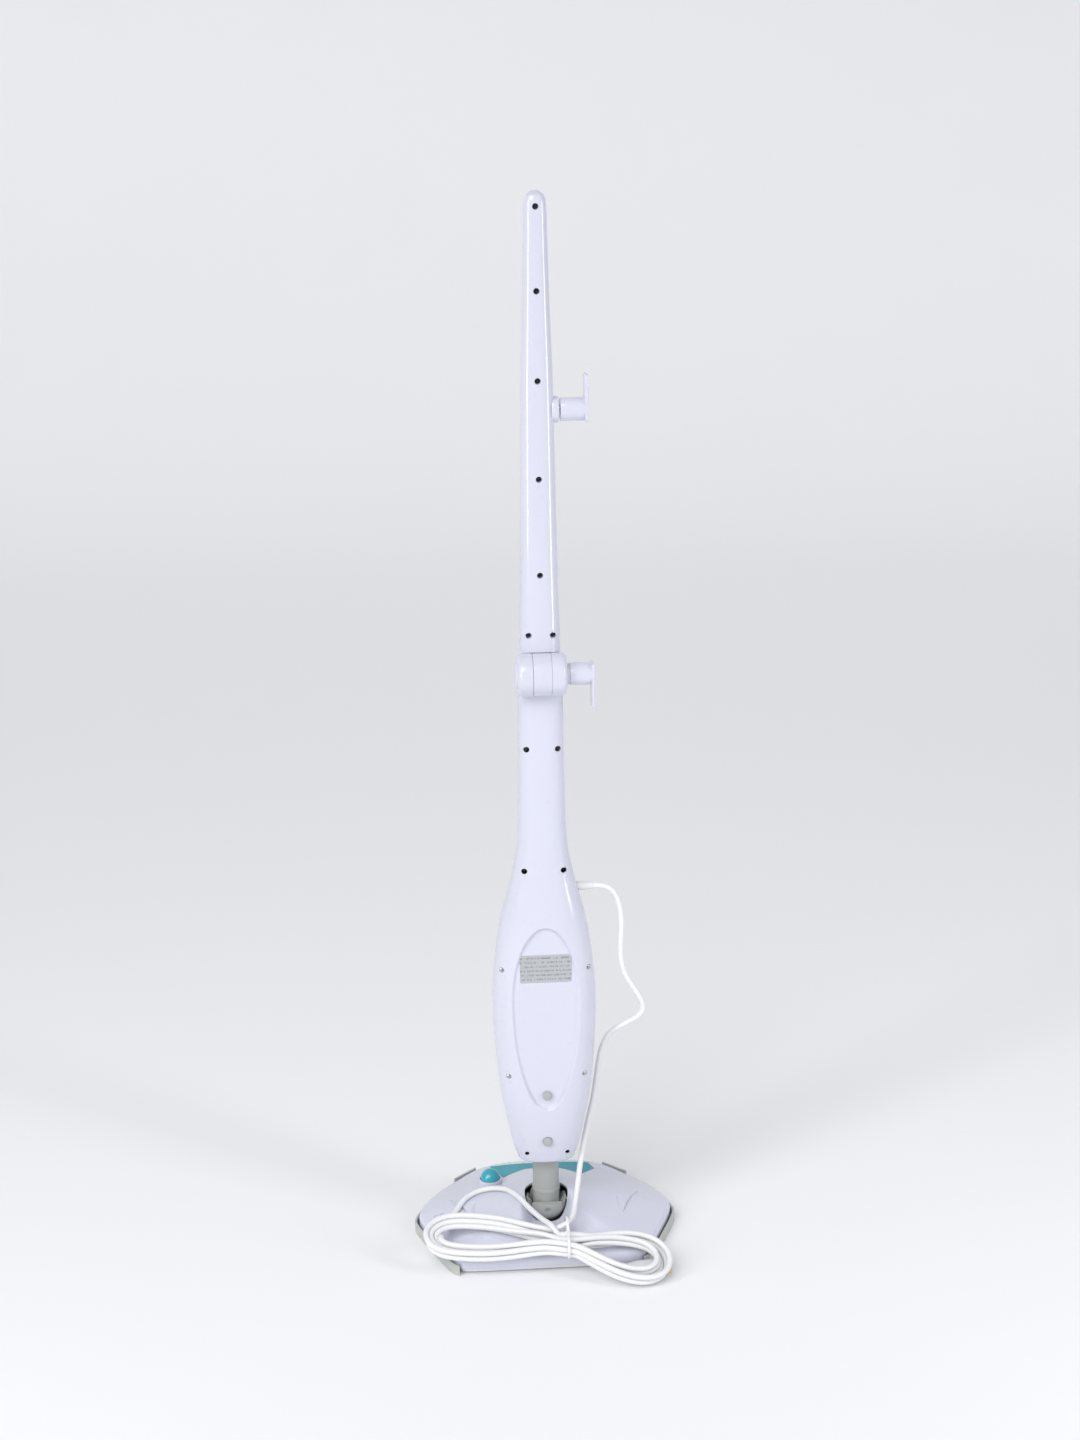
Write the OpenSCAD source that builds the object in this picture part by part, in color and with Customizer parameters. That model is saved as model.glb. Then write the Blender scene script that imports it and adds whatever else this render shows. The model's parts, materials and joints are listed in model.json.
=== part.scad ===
// Foldable upright steam mop standing on its floor head, with its mains cord tied in a hank.
// +Z is up, +Y is the way the head is pushed, the origin is on the floor under the ball joint.

/* [Overall] */
// Height of the handle's tip above the floor
total_h = 1200; // [1120:10:1280]
// Height of the fold hinge's axis above the floor
hinge_z = 693; // [660:1:730]
// Height of the casing's lower edge above the floor
casing_z0 = 110; // [106:1:114]

/* [Floor head] */
// Width of the head's shell across its side corners
head_w = 300; // [280:2:340]
// Depth of the head's shell from its rear edge to its nose
head_d = 218; // [206:2:240]
// How far the rear edge lies behind the ball joint's axis
head_rear = 84; // [80:1:88]
// Height of the shell's dome beside the ball
head_peak = 62; // [61:1:66]
// Thickness of the shell's wall
head_wall = 2.4; // [1.6:0.1:2.8]
// Height of the shell's lower edge
skirt_z = 7; // [6:0.5:8]
// Thickness of the glider's runner
runner_t = 3; // [2:0.5:4]
// Height of the glider's upright wall
glider_h = 13; // [11:0.5:15]
// Radius of the foot button's dome
foot_button_r = 11.5; // [9:0.5:13]

/* [Ball joint] */
// Radius of the swivel ball
ball_r = 24; // [23:0.5:25]
// Height of the ball's centre
ball_z = 45; // [44:0.5:47]
// Outer radius of the neck tube
neck_r = 15.3; // [14:0.1:16]
// Bore radius of the neck tube
neck_bore_r = 8; // [6:0.5:10]
// Radius of the pivot pins
pivot_r = 3; // [2.5:0.1:3.5]

/* [Casing] */
// Half the casing's width at its widest
casing_hw = 58.8; // [54:0.2:66]
// Depth of the casing behind its seam at the widest place
casing_rear = 37; // [35:0.5:40]
// Depth of the casing in front of its seam at the widest place
casing_front = 56; // [50:0.5:64]
// Wall of the casing's covers
cover_wall = 2.4; // [1.8:0.1:3]
// Depth of the egg-shaped recess in the rear cover
recess_d = 4; // [2:0.5:6]
// Outer radius of the boiler
boiler_r = 19; // [15:0.5:20]

/* [Handle] */
// Half the handle's width at the hinge
handle_hw = 22.4; // [20:0.2:25]
// Wall of the handle's covers
handle_wall = 2.2; // [1.6:0.1:2.8]
// Radius of the hinge barrel
barrel_r = 23.5; // [22:0.5:25]
// Half the length of the hinge barrel
barrel_hw = 27; // [25:0.5:29]
// How far the hinge's axis lies behind the seam
hinge_back = 21; // [20:0.5:24]
// Radius of the hinge pin
pin_r = 5; // [4:0.5:6]
// Radius of a cord hook's post
hook_r = 12.4; // [10:0.2:14]
// Length of a cord hook's post
hook_len = 26.5; // [22:0.5:32]
// Height of the upper cord hook above the floor
hook_z = 976; // [940:2:1010]

/* [Fits] */
// Radial clearance of a pin that turns in a hole
pin_clear = 0.05; // [0.02:0.01:0.1]
// Gap between covers and the pieces that pass through them
gap = 0.4; // [0.3:0.05:0.6]
// Clearance round a body that moves past another
run_gap = 1.4; // [1:0.1:1.8]
// Travel of the steam button
steam_travel = 4; // [2:0.5:5]
// Travel of the foot button
foot_travel = 4; // [2:0.5:5]
// Travel of the fold button
fold_travel = 3; // [2:0.5:4]

/* [Cord] */
// Diameter of the mains cord
cord_d = 6.5; // [6:0.1:7]

/* [Hidden] */
$fn = 48;
eps = 0.01;

WHITE = [0.86, 0.86, 0.9];
GREY = [0.62, 0.64, 0.62];
TEAL = [0.2, 0.66, 0.72];
STEEL = [0.72, 0.73, 0.75];
DARK = [0.2, 0.2, 0.23];
PALE = [0.8, 0.88, 0.87];
CLEAR = [0.55, 0.8, 0.84];
BOARD = [0.2, 0.45, 0.3];
RED = [0.85, 0.3, 0.2];

// ---- curves through a few stations ------------------------------------------------------

// Which stretch of the table holds t
function seg(tab, t, i = 0) = (i >= len(tab) - 2 || t < tab[i + 1][0]) ? i : seg(tab, t, i + 1);
// The slope at station i, from its two neighbours
function slope(tab, i, k) =
    let (a = max(i - 1, 0), b = min(i + 1, len(tab) - 1))
    (tab[b][k] - tab[a][k]) / (tab[b][0] - tab[a][0]);
// Column k of the table at t, on a smooth cubic through the stations
function at(tab, t, k) =
    let (i = seg(tab, t), h = tab[i + 1][0] - tab[i][0], u = (t - tab[i][0]) / h)
    tab[i][k] * (2 * u * u * u - 3 * u * u + 1) + slope(tab, i, k) * h * (u * u * u - 2 * u * u + u)
    + tab[i + 1][k] * (3 * u * u - 2 * u * u * u) + slope(tab, i + 1, k) * h * (u * u * u - u * u);
function power(v, e) = sign(v) * pow(abs(v), e);
function smooth01(t) = let (u = min(max(t, 0), 1)) u * u * (3 - 2 * u);

// A closed solid through rings that all have the same number of points, lowest ring first
module loft(rings) {
    n = len(rings[0]);
    m = len(rings);
    sides = [for (j = [0:m - 2], i = [0:n - 1], k = [0, 1]) let (
        a = j * n + i, b = j * n + (i + 1) % n, c = a + n, d = b + n
    ) k == 0 ? [a, b, c] : [b, d, c]];
    bottom = [[for (i = [0:n - 1]) n - 1 - i]];
    top = [[for (i = [0:n - 1]) (m - 1) * n + i]];
    polyhedron(points = [for (r = rings, p = r) p], faces = concat(sides, bottom, top));
}

// ---- casing and handle outlines ---------------------------------------------------------

casing_z1 = hinge_z - 1;
casing_len = casing_z1 - casing_z0;
handle_z0 = hinge_z + 1;
handle_len = total_h - handle_z0;
// Share of the length, share of the widest half width, of the rear depth, of the front depth
CASING = [
    [0.000, 0.553, 0.63, 0.36], [0.030, 0.655, 0.72, 0.42], [0.091, 0.782, 0.87, 0.62],
    [0.146, 0.884, 0.95, 0.80], [0.227, 0.961, 0.98, 0.95], [0.313, 1.000, 1.00, 1.00],
    [0.390, 0.981, 0.99, 0.98], [0.498, 0.842, 0.92, 0.80], [0.598, 0.592, 0.74, 0.58],
    [0.660, 0.480, 0.64, 0.48], [0.741, 0.442, 0.56, 0.42], [0.844, 0.425, 0.52, 0.40],
    [1.000, 0.413, 0.50, 0.40]
];
// Share of the length, then half width, rear depth and front depth as shares of handle_hw
HANDLE = [
    [0.000, 1.00, 0.82, 0.98], [0.073, 0.978, 0.81, 0.97], [0.206, 0.902, 0.78, 0.88],
    [0.453, 0.817, 0.72, 0.80], [0.615, 0.76, 0.68, 0.76], [0.798, 0.63, 0.60, 0.72],
    [0.920, 0.56, 0.56, 0.68], [0.968, 0.535, 0.54, 0.64], [0.990, 0.43, 0.42, 0.46],
    [1.000, 0.15, 0.15, 0.16]
];
section_e = 2 / 2.7;
half_points = 10;

// One half of a rounded section: side -1 is the rear half and 1 the front half
function half_ring(hw, depth, z, side, grow) = [
    for (i = [0:half_points]) let (a = 180 * i / half_points, s = side)
    [(hw + grow) * power(cos(a), section_e) * -s, s * (depth + grow) * power(sin(a), section_e), z]
];
function casing_ring(t, side, grow) = half_ring(
    at(CASING, t, 1) * casing_hw, at(CASING, t, side < 0 ? 2 : 3) * (side < 0 ? casing_rear : casing_front),
    casing_z0 + t * casing_len, side, grow);
function handle_ring(t, side, grow) = half_ring(
    at(HANDLE, t, 1) * handle_hw, at(HANDLE, t, side < 0 ? 2 : 3) * handle_hw,
    handle_z0 + t * handle_len, side, grow);

CASING_T = [0, 0.03, 0.09, 0.15, 0.23, 0.31, 0.39, 0.45, 0.5, 0.55, 0.6, 0.66, 0.74, 0.84, 1];
HANDLE_T = [0, 0.1, 0.25, 0.45, 0.62, 0.8, 0.92, 0.968, 0.985, 1];
// Half of the casing's outer form, and the space inside it, which runs past the seam
module casing_half(side) loft([for (t = CASING_T) casing_ring(t, side, 0)]);
module casing_space(side) {
    inner = [for (t = CASING_T) casing_ring(t, side, -cover_wall)];
    top = casing_z1 - 26;
    intersection() {
        loft(inner);
        translate([-100, -100, casing_z0 + 3]) cube([200, 200, top - casing_z0 - 3]);
    }
}
module handle_half(side) loft([for (t = HANDLE_T) handle_ring(t, side, 0)]);
module handle_space(side) {
    inner = [for (t = HANDLE_T) if (t < 0.97) handle_ring(t, side, -handle_wall)];
    intersection() {
        loft(inner);
        translate([-100, -100, handle_z0 + 26]) cube([200, 200, handle_len - 50]);
    }
}
// The rear surface's depth at a height, for what sits on it
function casing_back(z) = at(CASING, (z - casing_z0) / casing_len, 2) * casing_rear;
function casing_nose(z) = at(CASING, (z - casing_z0) / casing_len, 3) * casing_front;
function handle_back(z) = at(HANDLE, (z - handle_z0) / handle_len, 2) * handle_hw;
function handle_nose(z) = at(HANDLE, (z - handle_z0) / handle_len, 3) * handle_hw;
function handle_side(z) = at(HANDLE, (z - handle_z0) / handle_len, 1) * handle_hw;
function casing_side(z) = at(CASING, (z - casing_z0) / casing_len, 1) * casing_hw;

// A rod along Y from y0 to y1, and one along X from x0 to x1
module rod_y(x, z, r, y0, y1) translate([x, y0, z]) rotate([-90, 0, 0]) cylinder(r = r, h = y1 - y0);
module rod_x(y, z, r, x0, x1) translate([x0, y, z]) rotate([0, 90, 0]) cylinder(r = r, h = x1 - x0);

// ---- floor head outline -----------------------------------------------------------------

axis_y = 8;
ball = [0, axis_y, ball_z];
half_w = head_w / 2;
nose_y = axis_y - head_rear + head_d;
// Half of the outline, front to rear: share of the half width, share of the depth from the rear
HEAD = [
    [0.000, 1.000], [0.320, 0.990], [0.540, 0.925], [0.700, 0.810], [0.890, 0.675], [1.010, 0.510],
    [0.990, 0.425], [0.800, 0.120], [0.720, 0.015], [0.640, 0.000], [0.000, 0.000]
];
head_corners = concat(
    [for (p = HEAD) [p[0] * half_w, axis_y - head_rear + p[1] * head_d]],
    [for (i = [len(HEAD) - 2:-1:1]) [-HEAD[i][0] * half_w, axis_y - head_rear + HEAD[i][1] * head_d]]
);
// Cuts each corner off at a quarter of its sides, which rounds a closed outline
function round_off(pts) = [for (i = [0:len(pts) - 1], k = [0.25, 0.75])
    pts[i] * (1 - k) + pts[(i + 1) % len(pts)] * k];
head_outline = round_off(head_corners);
// The outline drawn in or out about the ball's axis, s being 1 on the shell's edge
function head_line(s) = [for (p = head_outline) [p[0] * s, axis_y + (p[1] - axis_y) * s]];
// The glider's outer face and its inner face, as shares of the shell's outline
glider_s = 1.036;
glider_in = 1.018;
glider_end_x = 106;
function low_at(pts, x) = min([for (i = [0:len(pts) - 1]) let (p = pts[i], q = pts[(i + 1) % len(pts)])
    if ((p[0] - x) * (q[0] - x) <= 0 && p[1] < axis_y) p[1] + (q[1] - p[1]) * (x - p[0]) / (q[0] - p[0])]);
front_y = max([for (p = head_line(glider_s)) p[1]]);
rear_y = min(min([for (p = head_line(1)) p[1]]), low_at(head_line(glider_s), glider_end_x));
// The frame's origin lies under the middle of the whole object's depth
mid_y = (front_y + rear_y) / 2;
module piece(c) color(c) translate([0, -mid_y, 0]) children();
// Height of the shell's top at (x, y), s being the share of the way to the edge
function edge_z(y) = skirt_z + 14 + 0.04 * y;
function valley_z(y) = 19 + (y - axis_y + head_rear) * 0.19;
function head_top(x, y, s) = let (
    dome = edge_z(y) + (head_peak - edge_z(y)) * (1 - pow(s, 1.2)),
    m = exp(-pow(abs(x) / (ball_r + run_gap - 1), 6)) * smooth01((axis_y + 6 - y) / 18)
) dome - m * max(dome - valley_z(y), 0);
HEAD_S = [0.98, 0.93, 0.85, 0.74, 0.62, 0.5, 0.4, 0.3, 0.22, 0.14, 0.06];
function head_ring(s, drop, k) = [for (p = head_line(s)) [p[0] * k, axis_y + (p[1] - axis_y) * k,
    head_top(p[0], p[1], s) - drop]];
module head_dome(inset, bottom, drop) {
    k = 1 - inset / half_w;
    loft(concat(
        [[for (p = head_line(k)) [p[0], p[1], bottom]]],
        [[for (p = head_line(k)) [p[0], p[1], edge_z(p[1]) - 4 - drop * 0.3]]],
        [for (s = HEAD_S) head_ring(s, drop, k)]
    ));
}
// The turquoise inlay's outline on the nose, and the strip along its front edge
inlay_points = [[19, 96], [47, 69], [66, 100], [60, 126], [-60, 126], [-66, 100], [-47, 69], [-19, 96]];
strip_points = [[60, 126], [47, 137.5], [-47, 137.5], [-60, 126]];
button_x = -64;
button_y = 54;
button_z = 52;
boss_r = foot_button_r + 2.5;
module inlay_prism(points, grow)
    translate([0, 0, 22]) linear_extrude(40) offset(delta = grow) polygon(points);

// ---- floor head pieces ------------------------------------------------------------------

module head_shell() piece(WHITE) difference() {
    union() {
        head_dome(0, skirt_z, 0);
        translate([button_x, button_y, 24]) cylinder(r = boss_r, h = button_z - 24);
    }
    difference() {
        head_dome(head_wall, skirt_z - 1, head_wall);
        translate([button_x, button_y, 20]) cylinder(r = boss_r, h = 30);
        for (p = head_posts) translate([p[0], p[1], skirt_z]) cylinder(r = 4, h = 30);
    }
    translate([0, axis_y, 0]) cylinder(r = ball_r + run_gap, h = 100);
    translate([button_x, button_y, button_z - 7]) cylinder(r = foot_button_r + gap, h = 20);
    translate([button_x, button_y, 0]) cylinder(r = 5 + gap, h = 60);
    for (p = head_posts) translate([p[0], p[1], 0]) cylinder(r = 1.5, h = 20);
    inlay_prism(inlay_points, gap / 2);
    inlay_prism(strip_points, gap / 2);
}
head_posts = [[-104, 24], [104, 24], [-70, -50], [70, -50]];

module head_skin() difference() {
    head_dome(0, skirt_z, 0);
    head_dome(head_wall, skirt_z - 1, head_wall);
}
module head_inlay() piece(TEAL) intersection() {
    head_skin();
    inlay_prism(inlay_points, -gap / 4);
}
module inlay_strip() piece(PALE) intersection() {
    head_skin();
    inlay_prism(strip_points, -gap / 4);
}

plate_s = 0.975;
module base_plate() piece(WHITE) difference() {
    translate([0, 0, runner_t]) linear_extrude(skirt_z - runner_t) polygon(head_line(plate_s));
    for (x = [-84:24:84], y = [-30, 40]) translate([x, y, 0]) cylinder(r = 1.6, h = 20);
    for (p = head_posts) translate([p[0], p[1], 0]) {
        cylinder(r = 1.6, h = 20);
        cylinder(r = 3.2, h = runner_t + 2);
    }
}

module steam_manifold() piece(GREY) difference() {
    translate([-92, -38, skirt_z]) cube([184, 86, 11]);
    translate([-41, axis_y - 16, 0]) cube([82, 32, 40]);
    translate([-89, -35, skirt_z - 1]) cube([178, 15, 9]);
    translate([-89, 30, skirt_z - 1]) cube([178, 15, 9]);
    translate([-89, -35, skirt_z - 1]) cube([14, 80, 9]);
    translate([button_x, button_y, 0]) cylinder(r = 8, h = 40);
    translate([0, 36, 0]) cylinder(r = 4, h = 40);
}

module hook_strips() piece(DARK) for (y = [-18, 62])
    translate([-70, y - 9, runner_t - 1.4]) cube([140, 14, 1.4]);

module head_screws() piece(STEEL) for (p = head_posts) translate([p[0], p[1], 0]) {
    translate([0, 0, runner_t + 0.4]) cylinder(r = 2.9, h = 1.6);
    translate([0, 0, runner_t + 2]) cylinder(r = 1.5, h = 14);
}

// Two ears that carry the ball's trunnions, joined under the ball
ear_x0 = ball_r + 2.2;
ear_t = 5.5;
module pivot_bracket() piece(STEEL) difference() {
    union() {
        translate([-ear_x0 - ear_t, axis_y - 7, skirt_z]) cube([2 * (ear_x0 + ear_t), 14, 4]);
        for (s = [-1, 1]) translate([s * (ear_x0 + ear_t / 2) - ear_t / 2, axis_y - 7, skirt_z])
            cube([ear_t, 14, ball_z - skirt_z - 1]);
        rod_x(axis_y, ball_z, 5, -ear_x0 - ear_t, -ear_x0);
        rod_x(axis_y, ball_z, 5, ear_x0, ear_x0 + ear_t);
    }
    rod_x(axis_y, ball_z, pivot_r + pin_clear, -60, 60);
    translate([0, axis_y, 0]) cylinder(r = 6, h = 20);
}

module steam_elbow() piece(GREY) difference() {
    union() {
        translate([0, axis_y, skirt_z + 4]) cylinder(r = 7, h = 3);
        translate([0, 36, skirt_z + 11]) cylinder(r = 5.5, h = 3);
        translate([-3.5, axis_y + 7.5, skirt_z + 11]) cube([7, 28, 3]);
        translate([-3.5, axis_y + 5, skirt_z + 4]) cube([7, 3.5, 10]);
    }
    translate([0, axis_y, 0]) cylinder(r = 3, h = 30);
    translate([0, 36, 0]) cylinder(r = 2.5, h = skirt_z + 12);
}

// Frame that clips round the head and slides over carpet, open at the rear
tab_a = [76, 127];
tab_b = [103, 101];
module glider_tab() {
    d = tab_b - tab_a;
    angle = atan2(d[1], d[0]);
    translate([tab_a[0], tab_a[1], 0]) rotate([0, 0, angle]) translate([0, 3.4, 0]) {
        cube([norm(d), 2.2, 26]);
    }
}
module carpet_glider() piece(GREY) {
    difference() {
        union() {
            linear_extrude(glider_h) polygon(head_line(glider_s));
            glider_tab();
            mirror([1, 0, 0]) glider_tab();
        }
        translate([0, 0, runner_t]) linear_extrude(26) polygon(head_line(glider_in));
        translate([0, 0, -1]) linear_extrude(40) polygon(head_line(0.84));
        translate([-glider_end_x, axis_y - head_rear - 20, -1]) cube([2 * glider_end_x, 60, 40]);
    }
}

module foot_button() piece(TEAL) translate([button_x, button_y, 0]) {
    intersection() {
        translate([0, 0, button_z]) sphere(r = foot_button_r);
        translate([0, 0, button_z]) cylinder(r = 20, h = 20);
    }
    translate([0, 0, button_z - 2.5]) cylinder(r = foot_button_r, h = 2.5 + eps);
    translate([0, 0, button_z - 18]) cylinder(r = 5, h = 18);
}

// ---- ball joint -------------------------------------------------------------------------

foot_r = neck_r + 0.2;
module yoke() piece(GREY) difference() {
    translate(ball) sphere(r = ball_r, $fn = 64);
    // the well that the neck's foot turns in
    rod_y(0, ball_z, foot_r + gap, axis_y - foot_r - gap, axis_y + foot_r + gap);
    translate([-foot_r - gap, axis_y - foot_r - gap, ball_z])
        cube([2 * (foot_r + gap), 2 * (foot_r + gap), 40]);
    // the slot's flared ends give the neck room to lean
    translate([0, axis_y + foot_r + gap, ball_z]) rotate([90, 0, 0])
        linear_extrude(2 * (foot_r + gap)) polygon([[-14, -8], [14, -8], [ball_r + 4, 18], [ball_r + 4, 40],
            [-ball_r - 4, 40], [-ball_r - 4, 18]]);
    translate([-50, -50, ball_z + 14]) cube([100, 100, 40]);
    translate([-50, axis_y - ball_r - 1, ball_z + 6]) cube([100, ball_r, 40]);
    rod_x(axis_y, ball_z, pivot_r, -60, -foot_r - gap);
    rod_x(axis_y, ball_z, pivot_r, foot_r + gap, 60);
    rod_y(0, ball_z, pivot_r, axis_y - 60, axis_y + 60);
    translate([0, axis_y, 0]) cylinder(r = 4, h = ball_z);
}
// The neck's foot clears the trunnions' inner ends when it leans
trunnion_x0 = foot_r + 3.4;
module yoke_trunnions() piece(STEEL) for (s = [-1, 1])
    rod_x(axis_y, ball_z, pivot_r, s < 0 ? -ear_x0 - ear_t : trunnion_x0,
        s < 0 ? -trunnion_x0 : ear_x0 + ear_t);
pin_y0 = neck_bore_r + 1;
module neck_pins() piece(STEEL) for (s = [-1, 1])
    rod_y(0, ball_z, pivot_r, axis_y + (s < 0 ? -ball_r + 1.6 : pin_y0),
        axis_y + (s < 0 ? -pin_y0 : ball_r - 1.6));

neck_top = casing_z0 + 46;
module neck_tube() piece(GREY) difference() {
    union() {
        translate([0, axis_y, ball_z]) cylinder(r = neck_r, h = neck_top - ball_z);
        intersection() {
            rod_y(0, ball_z, foot_r, axis_y - 20, axis_y + 20);
            translate([0, axis_y, ball_z - 30]) cylinder(r = foot_r, h = 32);
        }
    }
    translate([0, axis_y, 0]) cylinder(r = neck_bore_r, h = 400);
    rod_y(0, ball_z, pivot_r + pin_clear, axis_y - 30, axis_y + 30);
    for (s = [-1, 1]) rod_y(s * (neck_r - 3), casing_z0 + 11, 1.5, -20, 10);
}
band_up = 15.8;
module neck_band() piece(GREY) difference() {
    translate([0, axis_y, ball_z + band_up]) cylinder(r = neck_r + 0.7, h = 5);
    translate([0, axis_y, 0]) cylinder(r = neck_r + pin_clear, h = 100);
}
collar_r = neck_r + 2.6;
module neck_collar() piece(WHITE) difference() {
    translate([0, axis_y, casing_z0 - 5]) cylinder(r = collar_r, h = 5);
    translate([0, axis_y, 0]) cylinder(r = neck_r + pin_clear, h = 200);
}

// ---- casing -----------------------------------------------------------------------------

// Screws: x, z. Each pair stands either side of the middle
dark_pairs = [[17.4, 607], [22, 468]];
low_pair = [23.4, 122];
bright_pairs = [[49.4, 352], [43.5, 223]];
hole_r = 3.3;

recess_z0 = 180;
recess_z1 = 405;
recess_hw = 39.4;
recess_low = 314;
// The egg outline: two half ellipses that share their widest line
function egg_points(grow) = [for (a = [0:9:351]) [
    (recess_hw + grow) * cos(a),
    recess_low + sin(a) * ((sin(a) > 0 ? recess_z1 - recess_low : recess_low - recess_z0) + grow)
]];
recess_floor = casing_rear * 0.93 - recess_d;
module egg_block(grow, y0, y1) translate([0, y1, 0]) rotate([90, 0, 0])
    linear_extrude(y1 - y0) polygon(egg_points(grow));

barrel_cut = barrel_r + 0.5;
module barrel_room() rod_x(-hinge_back, hinge_z, barrel_cut, -60, 60);

module rear_cover() piece(WHITE) difference() {
    casing_half(-1);
    difference() {
        casing_space(-1);
        egg_block(cover_wall, -80, -recess_floor + cover_wall);
    }
    egg_block(0, -80, -recess_floor);
    barrel_room();
    for (p = dark_pairs, s = [-1, 1]) {
        rod_y(s * p[0], p[1], hole_r, -60, -casing_back(p[1]) * 0.6);
        rod_y(s * p[0], p[1], 1.6, -60, 1);
    }
    for (s = [-1, 1]) rod_y(s * low_pair[0], low_pair[1], 2.6, -60, -9);
    for (p = bright_pairs, s = [-1, 1]) {
        rod_y(s * p[0], p[1], 1.6, -60, 1);
        rod_y(s * p[0], p[1], 2.8, -60, bright_y(p));
    }
    rod_y(0, foot_zs[0], 3, -60, 0);
    rod_y(0, foot_zs[1], 3, -60, 0);
    rod_y(0, foot_zs[1], foot_pad_r + gap, -60, -casing_back(foot_zs[1]) + 0.8);
    rod_x(0, gland_z, gland_r + gap, 0, 80);
    translate([0, axis_y, 0]) cylinder(r = neck_r + gap, h = casing_z0 + 60);
    translate([0, 0, casing_z1 - 60]) cube([17, 20, 40], center = true);
    translate([0, 0, casing_z1 - 15]) cube([17, 20, 50], center = true);
}

// The bay that the water tank sits in
tank_z0 = 190;
tank_z1 = 404;
bay_y = 24;
module bay(z0, z1, y) translate([-100, y, z0]) cube([200, 100, z1 - z0]);
module front_cover() piece(WHITE) difference() {
    casing_half(1);
    difference() {
        casing_space(1);
        bay(tank_z0 - 3, tank_z1 + 3, bay_y - 3);
        for (p = dark_pairs, s = [-1, 1]) rod_y(s * p[0], p[1], 3.6, 0.2, 60);
        for (p = bright_pairs, s = [-1, 1]) rod_y(s * p[0], p[1], 3.6, 0.2, 60);
    }
    bay(tank_z0, tank_z1, bay_y);
    barrel_room();
    for (p = concat(dark_pairs, bright_pairs), s = [-1, 1]) rod_y(s * p[0], p[1], 1.5, -1, 12);
    rod_x(0, gland_z, gland_r + gap, 0, 80);
    translate([0, axis_y, 0]) cylinder(r = neck_r + gap, h = casing_z0 + 60);
    rod_y(0, valve_z, 6 + gap, 10, 60);
    rod_y(0, dial_z, 3 + gap, 5, 80);
    rod_y(0, lens_z, 3.5 + gap, 5, 80);
    translate([0, 0, casing_z1 - 15]) cube([17, 20, 50], center = true);
}

module cover_screw(x, z, y) {
    rod_y(x, z, 2.9, y, y + 2);
    rod_y(x, z, 1.5, y + 2, 11);
}
module cover_screws() piece(DARK) {
    for (p = dark_pairs, s = [-1, 1]) cover_screw(s * p[0], p[1], -casing_back(p[1]) * 0.6 - 2);
    for (s = [-1, 1]) {
        rod_y(s * low_pair[0], low_pair[1], 2.5, -11, -9);
    }
}
module bright_screws() piece(STEEL) for (p = bright_pairs, s = [-1, 1]) {
    y = bright_y(p);
    rod_y(s * p[0], p[1], 2.6, y - 1.8, y);
    rod_y(s * p[0], p[1], 1.5, y, 11);
}
// How far the rounded section's depth has fallen at a share u of its half width
function side_share(u) = pow(1 - pow(abs(u), 2 / section_e), section_e / 2);
function bright_y(p) = 0.8 - casing_back(p[1]) * side_share(p[0] / casing_side(p[1]));

module rating_sticker() piece(STEEL) translate([-29, -recess_floor - 0.3, 338]) cube([58, 0.3, 33]);
foot_zs = [199, 140];
foot_pad_r = 5.4;
module bumper_feet() piece(GREY) {
    seats = [-recess_floor, -casing_back(foot_zs[1]) + 0.8];
    for (i = [0, 1]) {
        rod_y(0, foot_zs[i], foot_pad_r, seats[i] - 4.4, seats[i]);
        rod_y(0, foot_zs[i], 2.9, seats[i], seats[i] + cover_wall + 1);
    }
}

boiler_y = -recess_floor + cover_wall + boiler_r + 1.4;
module boiler() piece(STEEL) {
    translate([0, boiler_y, 222]) cylinder(r = boiler_r, h = 110);
    translate([0, boiler_y, 218]) cylinder(r = boiler_r - 5, h = 4);
}
module thermostat() piece(DARK) translate([0, boiler_y, 332]) {
    cylinder(r = 9, h = 5);
    translate([0, 0, 5]) cylinder(r = 5, h = 4);
}
module water_pump() piece(WHITE) {
    translate([-34, -16, 352]) cube([26, 28, 40]);
    translate([-21, -2, 346]) cylinder(r = 4, h = 6);
}
module control_board() piece(BOARD) {
    translate([2, 12, 346]) cube([36, 1.6, 62]);
    translate([8, 4, 352]) cube([12, 8, 14]);
    translate([22, 5, 380]) cube([10, 7, 12]);
}
module steam_hose() piece(WHITE) difference() {
    translate([0, axis_y, ball_z + 20]) cylinder(r = 5, h = 222 - ball_z - 20 - 4.6);
    translate([0, axis_y, 0]) cylinder(r = 3, h = 300);
}
valve_z = tank_z0 + 12;
module water_hose() piece(WHITE) {
    rod_y(0, valve_z, 6, 18, bay_y - 0.5);
    translate([-30, 13, valve_z - 3]) cube([30, 5, 6]);
    translate([-30, 13, valve_z]) cube([5, 5, 345 - valve_z]);
}
module mains_wires() piece(DARK) {
    rod_x(0, gland_z, 2, 12, 30);
    translate([12, 0, 412]) cylinder(r = 2, h = gland_z - 412);
}
module casing_loom() piece(DARK) translate([-6, 4, 412]) cylinder(r = 2, h = hinge_z - 412 - 42);
lens_z = 455;
dial_z = 430;
module status_lens() piece(RED) rod_y(0, lens_z, 3.5, 18, casing_nose(lens_z) + 0.8);
module dial_shaft() piece(STEEL) rod_y(0, dial_z, 3, 14, casing_nose(dial_z) + 3);
module steam_dial() piece(TEAL) difference() {
    rod_y(0, dial_z, 12, casing_nose(dial_z) + 4.5, casing_nose(dial_z) + 14);
    rod_y(0, dial_z, 3 + pin_clear, 0, 100);
    for (a = [0:30:330]) translate([0, 0, dial_z]) rotate([0, a, 0])
        translate([12.6, 0, 0]) rod_y(0, 0, 1.4, 0, 100);
}

// ---- water tank -------------------------------------------------------------------------

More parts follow.
